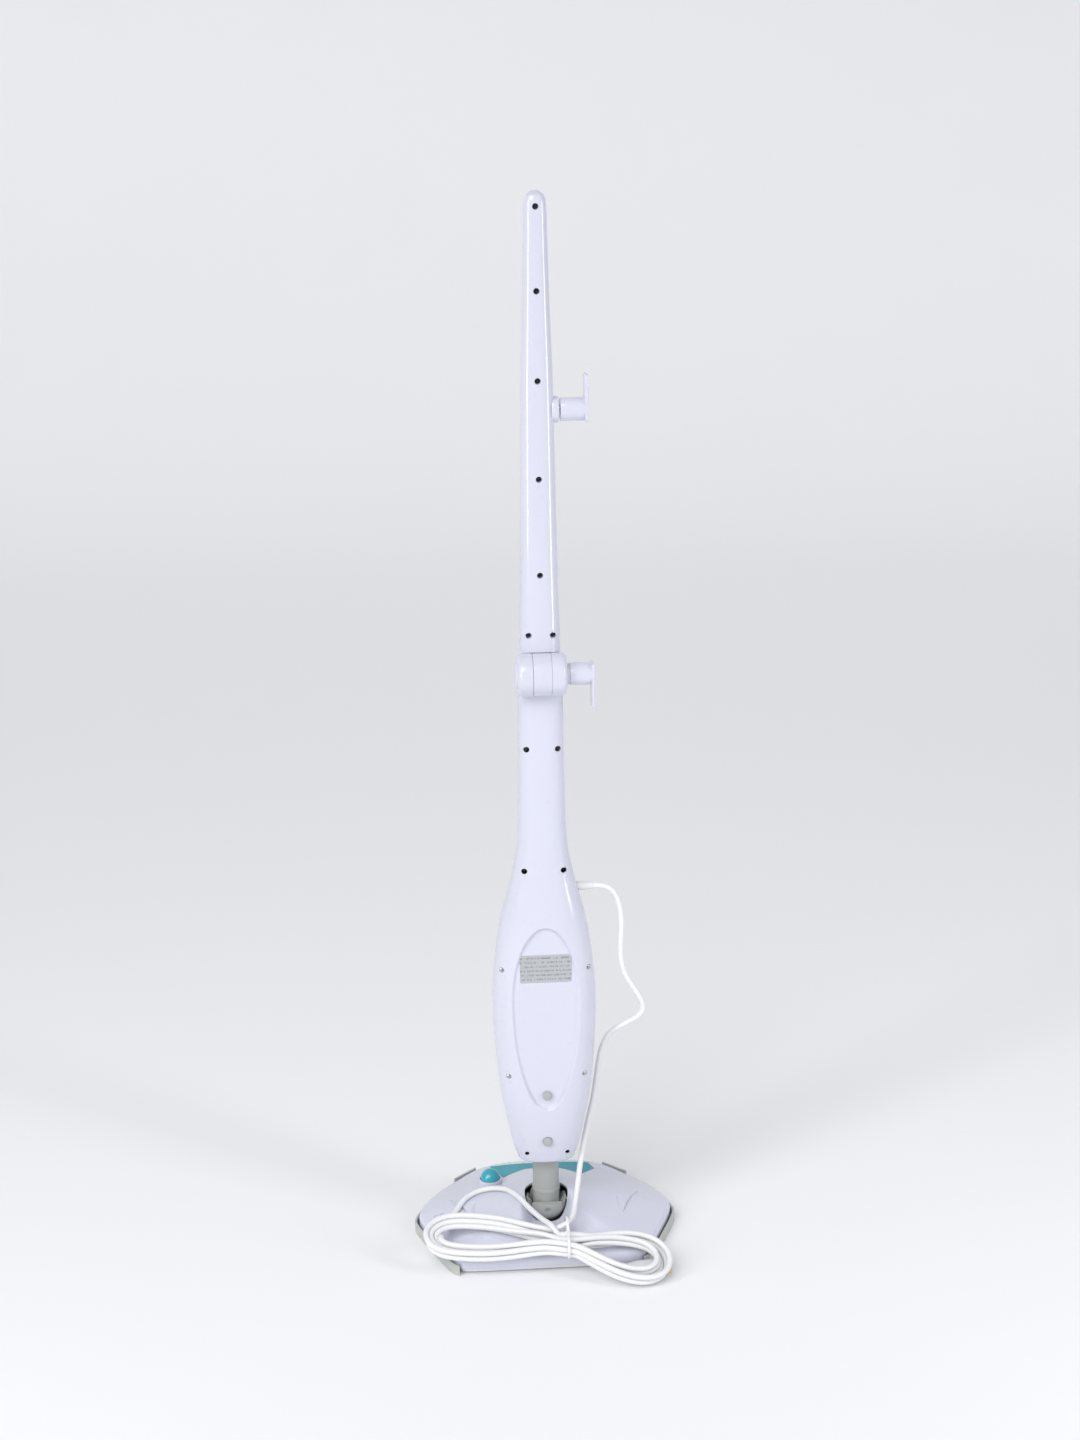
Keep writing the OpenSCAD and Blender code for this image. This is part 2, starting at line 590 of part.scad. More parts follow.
module tank_form(grow) intersection() {
    loft([for (t = CASING_T) casing_ring(t, 1, grow)]);
    bay(tank_z0 + gap - grow, tank_z1 - gap + grow, bay_y + gap - grow);
}
cap_z = tank_z1 - 30;
module tank_shell() piece(CLEAR) difference() {
    tank_form(0);
    intersection() {
        tank_form(-2);
        translate([-100, 0, 0]) cube([200, 200, cap_z - 12]);
    }
    translate([0, cap_y, cap_z - 14]) cylinder(r = cap_neck_r, h = 60);
    translate([0, cap_y, cap_z]) cylinder(r = cap_r + gap, h = 60);
    rod_y(0, valve_z, 6 + gap, 10, 40);
}
cap_y = 39;
cap_r = 12;
cap_neck_r = 9;
module tank_seal() piece(DARK) rod_y(0, valve_z, 6, bay_y + gap + 0.1, bay_y + gap + 2);
module tank_cap() piece(TEAL) {
    translate([0, cap_y, cap_z + 0.3]) cylinder(r = cap_r, h = 8);
    translate([0, cap_y, cap_z - 8]) cylinder(r = cap_neck_r - pin_clear, h = 8.4);
    translate([1.5 - cap_r, cap_y - 2, cap_z + 8]) cube([2 * cap_r - 3, 4, 7]);
}

// ---- hinge ------------------------------------------------------------------------------

knuckle_hw = 10;
module hinge_knuckle() piece(WHITE) difference() {
    union() {
        rod_x(-hinge_back, hinge_z, barrel_r, -knuckle_hw, knuckle_hw);
        translate([-8, -10, hinge_z - 40]) cube([16, 20, 20]);
        translate([-8, -22, hinge_z - 21]) cube([16, 26, 14]);
    }
    rod_x(-hinge_back, hinge_z, pin_r, -60, 60);
    rod_x(-hinge_back, hinge_z, 14, -knuckle_hw - 1, -knuckle_hw + 3);
    translate([0, 0, hinge_z - 40]) cube([6, 6, 60], center = true);
}
pin_back = 2.5 + fold_travel + gap;
module hinge_pin() piece(STEEL) rod_x(-hinge_back, hinge_z, pin_r, -barrel_hw + pin_back, barrel_hw + 12);
module lower_hook() piece(WHITE) translate([barrel_hw + 3.4, -hinge_back, hinge_z]) {
    difference() {
        rotate([0, 90, 0]) cylinder(r = hook_r, h = hook_len);
        rotate([0, 90, 0]) cylinder(r = pin_r, h = 8.6);
    }
    translate([hook_len - 3, -hook_r, -37]) cube([3, 2 * hook_r, 37 + hook_r]);
}

// The fork that the upper handle turns with: two ears, a bridge and a tongue
module hinge_clevis() piece(WHITE) difference() {
    union() {
        rod_x(-hinge_back, hinge_z, barrel_r, -barrel_hw, -knuckle_hw - 0.3);
        rod_x(-hinge_back, hinge_z, barrel_r, knuckle_hw + 0.3, barrel_hw);
        for (s = [-1, 1]) translate([s * 14 - 3.5, -22, hinge_z]) cube([7, 34, 30]);
        translate([-17.5, -10, handle_z0 + 25]) cube([35, 22, 12]);
    }
    rod_x(-hinge_back, hinge_z, pin_r + pin_clear, -60, 60);
    rod_x(-hinge_back, hinge_z, 15, -barrel_hw - 1, -barrel_hw + 6);
    translate([0, 0, handle_z0 + 30]) cube([8, 8, 60], center = true);
}
module fold_button() piece(WHITE) {
    intersection() {
        translate([-barrel_hw + 29, -hinge_back, hinge_z]) sphere(r = 33, $fn = 64);
        rod_x(-hinge_back, hinge_z, 15 - gap, -barrel_hw - 4, -barrel_hw + 2.5);
    }
}

// ---- handle -----------------------------------------------------------------------------

mid_screws = [1184, 1099, 1007, 904, 801];
handle_pair = [13.2, 735];
handle_holes = concat([for (z = mid_screws) [0, z]],
    [for (s = [-1, 1]) [s * handle_pair[0], handle_pair[1]]]);
module handle_rear() piece(WHITE) difference() {
    handle_half(-1);
    difference() {
        handle_space(-1);
        for (p = handle_holes) rod_y(p[0], p[1], 4.4, -40, 0);
    }
    barrel_room();
    clevis_room();
    for (p = handle_holes) {
        rod_y(p[0], p[1], hole_r, -60, -handle_back(p[1]) * 0.5);
        rod_y(p[0], p[1], 1.6, -60, 1);
    }
    rod_x(0, hook_z, 5.2, 0, 60);
}
module clevis_room() {
    for (s = [-1, 1]) translate([s * 14 - 4, -60, hinge_z - 1]) cube([8, 72.5, 33]);
    translate([-18, -10.5, handle_z0 + 24]) cube([36, 23, 14]);
}
button_z0 = 1066;
button_z1 = 1104;
module handle_front() piece(WHITE) difference() {
    handle_half(1);
    difference() {
        handle_space(1);
        for (p = handle_holes) rod_y(p[0], p[1], 3.6, 0.2, 40);
    }
    barrel_room();
    clevis_room();
    for (p = handle_holes) rod_y(p[0], p[1], 1.5, -1, 9);
    rod_x(0, hook_z, 5.2, 0, 60);
    translate([-6 - gap, 4, button_z0 - gap]) cube([12 + 2 * gap, 40, button_z1 - button_z0 - 9 + 2 * gap]);
}
module handle_screws() piece(DARK) for (p = handle_holes) {
    y = -handle_back(p[1]) * 0.5;
    rod_y(p[0], p[1], 2.9, y - 2, y);
    rod_y(p[0], p[1], 1.5, y, 8);
}
steam_y = handle_nose(button_z0 + 15);
module steam_button() piece(TEAL) {
    translate([-6, steam_y - 5, button_z0]) cube([12, 11, button_z1 - button_z0 - 9]);
    translate([-4, steam_y - 5.9, button_z0 + 4]) cube([8, 1, 20]);
}
module microswitch() piece(DARK) translate([-3, -2, button_z0 + 2])
    cube([6, steam_y - 6 - steam_travel, 14]);
module handle_loom() piece(DARK) {
    translate([-6, 2, handle_z0 + 42]) cylinder(r = 1.5, h = 1060 - handle_z0 - 42);
}

hook_x = handle_side(hook_z);
module hook_disc() piece(WHITE) difference() {
    rod_x(0, hook_z, 14, hook_x - 3, hook_x + 5);
    handle_form();
    rod_x(0, hook_z, 5, 0, 80);
}
module handle_form() loft([for (t = HANDLE_T) let (
    f = handle_ring(t, 1, 0.05), b = handle_ring(t, -1, 0.05)
) concat([for (i = [0:half_points - 1]) f[i]], [for (i = [0:half_points - 1]) b[i]])]);
module hook_axle() piece(STEEL) rod_x(0, hook_z, 5, hook_x - 8, hook_x + 15);
module upper_hook() piece(WHITE) translate([hook_x + 6.4, 0, hook_z]) {
    difference() {
        rotate([0, 90, 0]) cylinder(r = hook_r, h = hook_len);
        rotate([0, 90, 0]) cylinder(r = 5 + pin_clear, h = 8.8);
    }
    translate([hook_len - 0.5, -hook_r, -hook_r]) cube([3.6, 2 * hook_r, 37 + hook_r]);
}

// ---- mains cord -------------------------------------------------------------------------

cord_r = cord_d / 2;
gland_z = 441;
gland_r = 5;
gland_x = 34;
gland_end = 52;
module cord_gland() piece(GREY) difference() {
    union() {
        translate([gland_x - 4, 0, gland_z]) rotate([0, 90, 0]) cylinder(r = gland_r, h = 10);
        translate([gland_x + 6, 0, gland_z]) rotate([0, 90, 0])
            cylinder(r1 = gland_r, r2 = cord_r + 0.6, h = gland_end - gland_x - 6);
    }
    rod_x(0, gland_z, cord_r - 1.2, 0, gland_x);
}

// Route of the lead from the gland to the joint under the casing, in mm
LEAD = [
    [52, 0, 441], [61, 0, 441], [72, 0, 439], [81, 0, 431], [87, 0, 414], [89, -1, 394], [88, -2, 374],
    [88, -3, 354], [92, -4, 335], [102, -5, 317], [111, -5, 302], [113.5, -4, 289], [107, -2, 279],
    [95, 1, 271], [83, 4, 263], [74, 7, 254], [67, 9, 238], [63, 10, 218], [60, 10, 196], [56, 8, 172],
    [50, 4, 148], [44, -2, 122], [39, -9, 98]
];
// Route of the tail from there into the hank
TAIL = [
    [39, -9, 98], [36, -15, 80], [33, -24, 67], [29, -37, 57], [26, -53, 51], [25, -66, 50], [24.8, -76, 48]
];
sides = 8;
function unit(v) = v / norm(v);
// A tube of round section along a route of points: each ring squares up to the route's direction
module tube(route, r, before, after) {
    n = len(route);
    rings = [for (i = [0:n - 1]) let (
        d = unit((i < n - 1 ? route[i + 1] : after) - (i > 0 ? route[i - 1] : before)),
        u = unit(cross(d, [0.1, 1, 0.05])),
        v = cross(d, u)
    ) [for (k = [0:sides - 1]) route[i] + r * (u * cos(360 * k / sides) + v * sin(360 * k / sides))]];
    loft(rings);
}
module cord_lead() piece(WHITE) tube(LEAD, cord_r, LEAD[0] - [1, 0, 0], TAIL[1]);
module cord_tail() piece(WHITE) tube(TAIL, cord_r, LEAD[len(LEAD) - 2], TAIL[len(TAIL) - 1]);

// The tied hank: two lobes that taper towards the waist, where the tie holds the bundle
tie_at = [18, -86, 36];
waist_hw = 10;
lobe_t = 18;
waist_r = 13.5;
// The plug lies on the floor beneath the right lobe, which has a hollow for it
plug_at = [84, -94, 8];
plug_w = 24;
plug_t = 15;
plug_len = 34;
blade_len = 17;
blade_gap = 12.7;
module power_plug() piece(WHITE) translate(plug_at) {
    corner = plug_t / 2;
    translate([0, corner - plug_w / 2, -corner]) cube([plug_len, plug_w - plug_t, plug_t]);
    for (s = [-1, 1]) rod_x(s * (plug_w / 2 - corner), 0, corner, 0, plug_len);
    for (s = [-1, 1]) translate([plug_len, s * blade_gap / 2 - 0.8, -3.2]) cube([blade_len, 1.6, 6.4]);
}
END = [[84, -94, 8], [78, -94, 8.2], [72, -93.7, 10], [66, -93, 13.5], [62, -92.4, 16.5]];
module cord_end() piece(WHITE) tube(END, cord_r, END[0] + [1, 0, 0], END[4] + [-4, 0.6, 3]);
module lobe(length, width, thick) translate([0, 0, -thick / 2]) linear_extrude(thick) hull() {
    translate([length - width / 2, 0]) circle(d = width, $fn = 32);
    circle(d = width * 0.42, $fn = 32);
}
module cord_hank_left() piece(WHITE) intersection() {
    translate(tie_at + [0, 2, 4.4]) rotate([15, -2.5, 0]) rotate([0, 0, 180 - 11]) lobe(171, 64, lobe_t);
    translate([-300, -300, 0]) cube([300 + tie_at[0] - waist_hw, 600, 200]);
}
module cord_hank_right() piece(WHITE) difference() {
    intersection() {
        translate(tie_at + [0, -3, 2]) rotate([20, 9, 0]) rotate([0, 0, -5]) lobe(123, 67, lobe_t);
        translate([tie_at[0] + waist_hw, -300, 0]) cube([300, 600, 200]);
    }
    translate(plug_at - [gap, plug_w / 2 + gap, 20])
        cube([plug_len + blade_len + 2 * gap, plug_w + 2 * gap, 20 + plug_t / 2 + gap]);
}
module cord_waist() piece(WHITE) translate(tie_at) rod_x(0, 0, waist_r, -waist_hw, waist_hw);
module cord_tie() piece(WHITE) translate(tie_at) difference() {
    rod_x(0, 0, waist_r + 1, -2, 2);
    rod_x(0, 0, waist_r, -3, 3);
}

head_shell();
head_inlay();
inlay_strip();
base_plate();
steam_manifold();
hook_strips();
head_screws();
pivot_bracket();
steam_elbow();
carpet_glider();
foot_button();
yoke();
yoke_trunnions();
neck_pins();
neck_tube();
neck_band();
neck_collar();
rear_cover();
front_cover();
cover_screws();
bright_screws();
rating_sticker();
bumper_feet();
boiler();
thermostat();
water_pump();
control_board();
steam_hose();
water_hose();
mains_wires();
casing_loom();
status_lens();
steam_dial();
dial_shaft();
tank_shell();
tank_cap();
tank_seal();
hinge_knuckle();
hinge_pin();
lower_hook();
handle_rear();
handle_front();
handle_screws();
hinge_clevis();
fold_button();
hook_disc();
hook_axle();
upper_hook();
steam_button();
microswitch();
handle_loom();
cord_gland();
cord_lead();
cord_tail();
cord_hank_left();
cord_hank_right();
cord_waist();
cord_tie();
cord_end();
power_plug();
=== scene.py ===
# %% [markdown]
# # A steam mop, dressed over its CAD frame
#
# The CAD model gives every moving piece its place. This script keeps that frame and adds what the
# eye reads: smooth moulded shells, rounded edges, a real mains cord in a tied bundle, and materials
# with their own grain. All lengths in the formulas are millimetres; Blender gets metres.
#
# The order is: frame and camera, cords, materials, shells, head, hinge and hooks, small pieces, light.

# %% Frame
import json
import math

import bmesh
import bpy
import numpy as np
from mathutils import Matrix, Vector


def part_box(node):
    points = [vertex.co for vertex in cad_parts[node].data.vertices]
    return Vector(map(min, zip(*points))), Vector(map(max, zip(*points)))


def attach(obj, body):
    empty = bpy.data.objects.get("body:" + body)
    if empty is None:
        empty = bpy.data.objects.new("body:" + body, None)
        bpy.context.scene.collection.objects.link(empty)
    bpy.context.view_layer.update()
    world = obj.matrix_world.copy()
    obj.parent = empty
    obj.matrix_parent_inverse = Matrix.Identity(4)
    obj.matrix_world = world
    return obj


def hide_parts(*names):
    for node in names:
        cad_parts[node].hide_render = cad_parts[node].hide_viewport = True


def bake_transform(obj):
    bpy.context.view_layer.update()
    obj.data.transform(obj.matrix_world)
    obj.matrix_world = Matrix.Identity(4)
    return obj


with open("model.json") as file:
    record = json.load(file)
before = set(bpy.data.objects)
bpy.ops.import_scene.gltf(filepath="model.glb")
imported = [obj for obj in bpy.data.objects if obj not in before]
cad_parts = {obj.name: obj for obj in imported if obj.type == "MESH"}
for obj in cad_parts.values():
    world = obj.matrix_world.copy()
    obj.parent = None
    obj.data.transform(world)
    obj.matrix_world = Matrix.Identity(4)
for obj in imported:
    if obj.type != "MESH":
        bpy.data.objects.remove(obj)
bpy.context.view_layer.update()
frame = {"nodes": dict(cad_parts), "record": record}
nodes = frame["nodes"]
# The seam between the casing's covers lies this many millimetres behind the frame's origin
MID_Y = 34.5125
rear_end = 1000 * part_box("rear_cover")[1][1]
print("seam %.2f mm behind the origin; the rear cover ends at %.2f" % (MID_Y, rear_end))

# %% [markdown]
# ## From arrays to pieces
#
# Every new piece is a numpy array of points and faces. `grid_piece` takes rows of points, the same
# number in each row, and joins neighbours into quads. Points are given in the drawing's own
# millimetres, with Y measured from the seam between the covers; `place` moves them to the frame.

# %% Helpers
def place(points):
    """Drawing millimetres to frame metres: (x, y, z) -> (x, y - MID_Y, z) / 1000."""
    p = np.asarray(points, float).reshape(-1, 3).copy()
    p[:, 1] -= MID_Y
    return p / 1000


def mesh_piece(name, points, faces):
    """A smooth-shaded piece from points and faces."""
    me = bpy.data.meshes.new(name)
    me.from_pydata(place(points).tolist(), [], [tuple(int(i) for i in f) for f in faces])
    me.update()
    ob = bpy.data.objects.new(name, me)
    bpy.context.scene.collection.objects.link(ob)
    finish_mesh(ob)
    return ob


def finish_mesh(ob, sharp=None):
    """Smooth shading, with the edges steeper than `sharp` degrees kept sharp."""
    ob.data.shade_smooth()
    if sharp:
        ob.data.set_sharp_from_angle(angle=math.radians(sharp))


def weld(ob, dist=1e-6):
    """Joins points that lie together, drops empty faces and turns the faces outwards."""
    bm = bmesh.new()
    bm.from_mesh(ob.data)
    bmesh.ops.remove_doubles(bm, verts=bm.verts, dist=dist)
    bmesh.ops.dissolve_degenerate(bm, edges=bm.edges, dist=1e-7)
    bmesh.ops.recalc_face_normals(bm, faces=bm.faces)
    bm.to_mesh(ob.data)
    bm.free()
    return ob


def grid_faces(rows, cols, wrap=False):
    """Quads between neighbouring rows; wrap also joins the last column to the first."""
    j, i = np.meshgrid(np.arange(rows - 1), np.arange(cols if wrap else cols - 1), indexing="ij")
    a = j * cols + i
    b = j * cols + (i + 1) % cols
    return np.stack([a, b, b + cols, a + cols], -1).reshape(-1, 4)


def grid_piece(name, grid):
    """A skin through a grid of points shaped (rows, columns, 3), closed round its rows."""
    rows, cols = grid.shape[:2]
    return mesh_piece(name, grid.reshape(-1, 3), grid_faces(rows, cols, wrap=True))


# %% [markdown]
# ## Turned and lofted pieces
#
# Most small parts of a moulded product are either turned or lofted. A turned piece carries a profile
# round an axis. A loft joins rings of the same number of points and closes both ends, which makes a
# solid that can also cut or join other solids.

# %% Lathe and loft
def lathe(name, profile, centre, axis, body, steps=56, sharp=38):
    """A turned piece: profile points (radius, height) go round an axis through centre.

    Point = centre + height * n + radius * (cos a * u + sin a * v), for a full turn of a.
    A closed piece starts and ends its profile on radius 0."""
    n = np.array(axis, float) / np.linalg.norm(axis)
    u = np.cross(n, [0.3, 0.2, 1.0] if abs(n[2]) < 0.9 else [1.0, 0, 0])
    u /= np.linalg.norm(u)
    v = np.cross(n, u)
    a = np.linspace(0, 2 * np.pi, steps, endpoint=False)
    ring = np.cos(a)[:, None] * u + np.sin(a)[:, None] * v
    grid = np.array([np.array(centre) + h * n + r * ring for r, h in profile])
    ob = weld(grid_piece(name, grid))
    finish_mesh(ob, sharp)
    if body:
        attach(ob, body)
    return ob


def rounded(profile, radius, steps=5):
    """Rounds the corners of an open profile (r, h).

    Corner c between p and n becomes c + d*(1-t)^2*(p-c)/|p-c| + d*t^2*(n-c)/|n-c|, t from 0 to 1."""
    out = [profile[0]]
    for p, c, n in zip(profile[:-2], profile[1:-1], profile[2:]):
        p, c, n = map(np.array, (p, c, n))
        lp, ln = np.linalg.norm(p - c), np.linalg.norm(n - c)
        d = min(radius, lp * 0.49, ln * 0.49)
        for t in np.linspace(0, 1, steps):
            out.append(tuple(c + d * (1 - t) ** 2 * (p - c) / lp + d * t**2 * (n - c) / ln))
    out.append(profile[-1])
    return out


def ring_loft(name, rings, body, sharp=38, caps=(True, True)):
    """A closed solid through rings of the same number of points, capped at both ends."""
    grid = np.array(rings, float)
    rows, cols = grid.shape[:2]
    faces = [tuple(f) for f in grid_faces(rows, cols, wrap=True)]
    if caps[0]:
        faces.append(tuple(range(cols))[::-1])
    if caps[1]:
        faces.append(tuple((rows - 1) * cols + np.arange(cols)))
    ob = mesh_piece(name, grid.reshape(-1, 3), faces)
    bm = bmesh.new()
    bm.from_mesh(ob.data)
    bmesh.ops.recalc_face_normals(bm, faces=bm.faces)
    bm.to_mesh(ob.data)
    bm.free()
    finish_mesh(ob, sharp)
    if body:
        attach(ob, body)
    return ob


# %% [markdown]
# ## Camera
#
# A 50 mm lens on a 36 mm sensor, a little above two metres away and looking down at the mop's back.

# %% Camera
az, pitch, roll = math.radians(-4.0), math.radians(15.506), math.radians(-0.7)
away, high = 2.1210, 1.2246
fwd = Vector((-math.sin(az) * math.cos(pitch), math.cos(az) * math.cos(pitch), -math.sin(pitch)))
side = Vector((math.cos(az), math.sin(az), 0))
up = side.cross(fwd)
right = side * math.cos(roll) + up * math.sin(roll)
over = up * math.cos(roll) - side * math.sin(roll)
cam_data = bpy.data.cameras.new("camera")
cam_data.lens, cam_data.sensor_fit, cam_data.sensor_height, cam_data.sensor_width = 50, "VERTICAL", 36, 27
cam_data.shift_x = -0.8 / 1440
cam_data.dof.use_dof = False
cam = bpy.data.objects.new("camera", cam_data)
bpy.context.scene.collection.objects.link(cam)
turned = Matrix((right, over, -fwd)).transposed().to_4x4()
turned.translation = Vector((away * math.sin(az), -away * math.cos(az) - MID_Y / 1000, high))
cam.matrix_world = turned
bpy.context.scene.camera = cam
print("camera at", [round(c, 3) for c in turned.translation])

# %% [markdown]
# ## Mains cord
#
# One continuous cord, 6.5 mm thick. The lead leaves a tapered strain relief on the casing's right
# side, bows out and drops beside the neck. Then it is gathered into a bundle of about five and a half
# long turns, held at the waist by a tie. Each turn visits both lobes. In a lobe, a strand runs
# out on one side, round the end and back on the other, and its place in the side's bundle is a pair
# (distance from the lobe's middle line, height above the lobe's plane). The places form a close
# packing, one diameter apart.

# %% Cord route
CORD_D = 6.5
GLAND_Z = 441
LEAD = [[52, 0, GLAND_Z], [61, 0, GLAND_Z], [72, 0, 439], [81, 0, 431], [87, 0, 414], [89, -1, 394],
        [88, -2, 374], [88, -3, 354], [92, -4, 335], [102, -5, 317], [111, -5, 302], [113.5, -4, 289],
        [107, -2, 279], [95, 1, 271], [83, 4, 263], [74, 7, 254], [67, 9, 238], [63, 10, 218],
        [60, 10, 196], [56, 8, 172], [50, 4, 148], [44, -2, 122], [39, -9, 98]]
TAIL = [[39, -9, 98], [36, -15, 80], [33, -24, 67], [29.5, -37, 57.5]]


def turn(axis, degrees):
    """The rotation matrix about one axis: cos and sin of the angle in the other two rows."""
    c, s = math.cos(math.radians(degrees)), math.sin(math.radians(degrees))
    i, j = {"X": (1, 2), "Y": (2, 0), "Z": (0, 1)}[axis]
    m = np.eye(3)
    m[i, i], m[i, j], m[j, i], m[j, j] = c, -s, s, c
    return m


TIE = np.array([18.0, -86.0, 36.0])
LOBES = {
    "left": (TIE + [0, 2, 4.4], turn("Y", -2.5) @ turn("X", 15) @ turn("Z", 169), -1, 166.0),
    "right": (TIE + [0, -3, 2.0], turn("Y", 9) @ turn("X", 20) @ turn("Z", -5), 1, 119.0),
}
# A strand's place in a lobe's side bundle, and in the round waist under the tie
PLACES = [(24.8, 0.6), (29.6, -3.8), (23.1, -5.8), (18.4, -1.4), (20.0, 5.0), (29.4, 4.4)]
WAIST = [(3.4, 0.0), (9.9, -2.0), (3.4, -6.4), (3.0, 6.4), (6.6, 11.0), (9.6, 4.6)]


def lobe_point(lobe, p, q, n):
    """A point of a lobe: p along it from the tie, q across (positive on the far side), n above it."""
    origin, rot, sign, _ = LOBES[lobe]
    return origin + rot @ np.array([p, sign * q, n])


def visit(lobe, k, near_first, wobble):
    """One strand's way out and back in a lobe, as points from the waist to the waist."""
    length = LOBES[lobe][3] + wobble[0]
    wide = 1.1 if lobe == "right" else 1.0
    q, n = PLACES[k][0] * wide, PLACES[k][1]
    wq, wn = WAIST[k]
    end = length - (29.6 * wide - q)
    points = []
    for p in np.linspace(20, end - q, 7)[:-1]:
        t = min(p / (0.62 * length), 1.0)
        s = t * t * (3 - 2 * t)
        points.append((p, wq + (q - wq) * s + wobble[1] * math.sin(math.pi * t), wn + (n - wn) * s))
    out = [(p, -a, b) for p, a, b in points]
    bow = np.radians([-90, -60, -30, 0, 30, 60, 90])
    arc = [(end - q + q * math.cos(a), q * math.sin(a), n) for a in bow]
    path = out + arc + points[::-1]
    if not near_first:
        path = path[::-1]
    return [lobe_point(lobe, *c) for c in path]


def waist_point(k, side_sign, x):
    """Where strand k passes under the tie, side_sign -1 being the near side."""
    q, n = WAIST[k]
    q *= side_sign
    c, s = math.cos(math.radians(18)), math.sin(math.radians(18))
    return np.array([x, -86 + q * c - n * s, 37 + q * s + n * c])


def resample(line, step, passes=0):
    """The same line with evenly spaced points, softened a number of times; its ends stay."""
    s = np.concatenate([[0], np.cumsum(np.linalg.norm(np.diff(line, axis=0), axis=1))])
    n = int(round(s[-1] / step))
    even = np.stack([np.interp(np.linspace(0, s[-1], n + 1), s, line[:, i]) for i in range(3)], 1)
    for _ in range(passes * 6):
        even[1:-1] = 0.25 * even[:-2] + 0.5 * even[1:-1] + 0.25 * even[2:]
    return even


def smooth_line(points, step=2.2, passes=2):
    """A smooth line through chosen points: a centripetal Catmull-Rom spline, then evenly resampled
    and softened by averaging each point with its neighbours."""
    p = [np.asarray(points[0], float)]
    for q in points[1:]:
        if np.linalg.norm(np.asarray(q) - p[-1]) > 1.5:
            p.append(np.asarray(q, float))
    p = np.array(p)
    p = np.vstack([2 * p[0] - p[1], p, 2 * p[-1] - p[-2]])
    t = np.concatenate([[0], np.cumsum(np.sqrt(np.linalg.norm(np.diff(p, axis=0), axis=1)))])
    out = []
    for i in range(1, len(p) - 2):
        n = max(int(np.linalg.norm(p[i + 1] - p[i])), 2)
        for u in np.linspace(t[i], t[i + 1], n, endpoint=False):
            a = [((t[j + 1] - u) * p[j] + (u - t[j]) * p[j + 1]) / (t[j + 1] - t[j])
                 for j in (i - 1, i, i + 1)]
            b = [((t[j + 2] - u) * a[m] + (u - t[j]) * a[m + 1]) / (t[j + 2] - t[j])
                 for m, j in ((0, i - 1), (1, i))]
            out.append(((t[i + 1] - u) * b[0] + (u - t[i]) * b[1]) / (t[i + 1] - t[i]))
    out.append(p[-2])
    return resample(np.array(out), step, passes)


def length_of(line):
    """The line's length in metres, from millimetres."""
    return float(np.linalg.norm(np.diff(line, axis=0), axis=1).sum() / 1000)


rng = np.random.default_rng(7)
wobbles = rng.uniform([-2.5, -0.8], [2.5, 0.8], (12, 2))
# The loose turn, which rises over the head's left half from the lobe's end back to the waist
LOOSE = [(-128, -36, 33.5), (-116, -15, 34.5), (-105, 10, 36.5), (-95, 28, 39), (-83, 37, 42),
         (-68, 37, 45.5), (-54, 28, 50), (-40, 9, 56), (-28, -16, 56), (-14, -42, 52), (0, -66, 52),
         (9, -80, 49.5)]
DIP = [[28, -50, 54], [24, -62, 53.5], [13, -71, 52.5]]
PLUG_RUN = [[40, -87, 31], [52, -90.5, 23], [62, -92.8, 15.5], [72, -93.8, 10], [80, -94, 8.1], [86, -94, 8]]
points = [np.array(p) for p in TAIL + DIP]
points += visit("left", 5, False, wobbles[0])[1:] + [waist_point(5, -1, x) for x in (10, 18, 26)]
points += visit("right", 5, True, wobbles[1]) + [waist_point(4, 1, x) for x in (27, 20, 14)]
points += [np.array(p) for p in LOOSE[::-1]] + visit("left", 4, False, wobbles[2])[-9:]
points += [waist_point(4, -1, x) for x in (10, 18, 26)] + visit("right", 4, True, wobbles[3])
for i, k in enumerate((3, 2, 1, 0)):
    points += [waist_point(k, 1, x) for x in (26, 18, 10)] + visit("left", k, False, wobbles[4 + i])
    points += [waist_point(k, -1, x) for x in (10, 18, 26)]
    if k:
        points += visit("right", k, True, wobbles[8 + i])
points += [np.array(p, float) for p in PLUG_RUN]
lead_line = resample(smooth_line(LEAD, 2.2, 1), 2.2)
print("lead:", len(lead_line), "points; bundle chosen through", len(points), "points")

# %% [markdown]
# ## Settling the bundle
#
# The packing above is only nearly free of overlaps, because the strands change places at the tie and
# at the ends of the lobes. A short relaxation finishes it: points of different strands that are nearer
# than a diameter push each other away, the floor and the head's top push up, the tie pulls in, and
# every step is followed by a little smoothing so that the cord stays stiff.

# %% Head outline and its top surface
BALL = np.array([0.0, 8.0, 45.0])
HEAD = [(0, 1), (0.32, 0.99), (0.54, 0.925), (0.7, 0.81), (0.89, 0.675), (1.01, 0.51), (0.99, 0.425),
        (0.8, 0.12), (0.72, 0.015), (0.64, 0), (0, 0)]
half = [(a * 150.0, -76.0 + b * 218.0) for a, b in HEAD]
corners = np.array(half + [(-x, y) for x, y in half[-2:0:-1]])


def round_off(pts, times):
    """Cuts each corner at a quarter of its sides, again and again, until the outline is a curve."""
    for _ in range(times):
        nxt = np.roll(pts, -1, axis=0)
        pts = np.stack([pts * 0.75 + nxt * 0.25, pts * 0.25 + nxt * 0.75], 1).reshape(-1, 2)
    return pts


rim = round_off(corners, 4) - BALL[:2]
order = np.argsort(np.arctan2(rim[:, 1], rim[:, 0]))
RIM_A = np.arctan2(rim[:, 1], rim[:, 0])[order]
RIM_R = np.hypot(rim[:, 0], rim[:, 1])[order]


def rim_r(angle):
    """The outline's distance from the ball's axis in a direction."""
    return np.interp(angle, RIM_A, RIM_R, period=2 * np.pi)


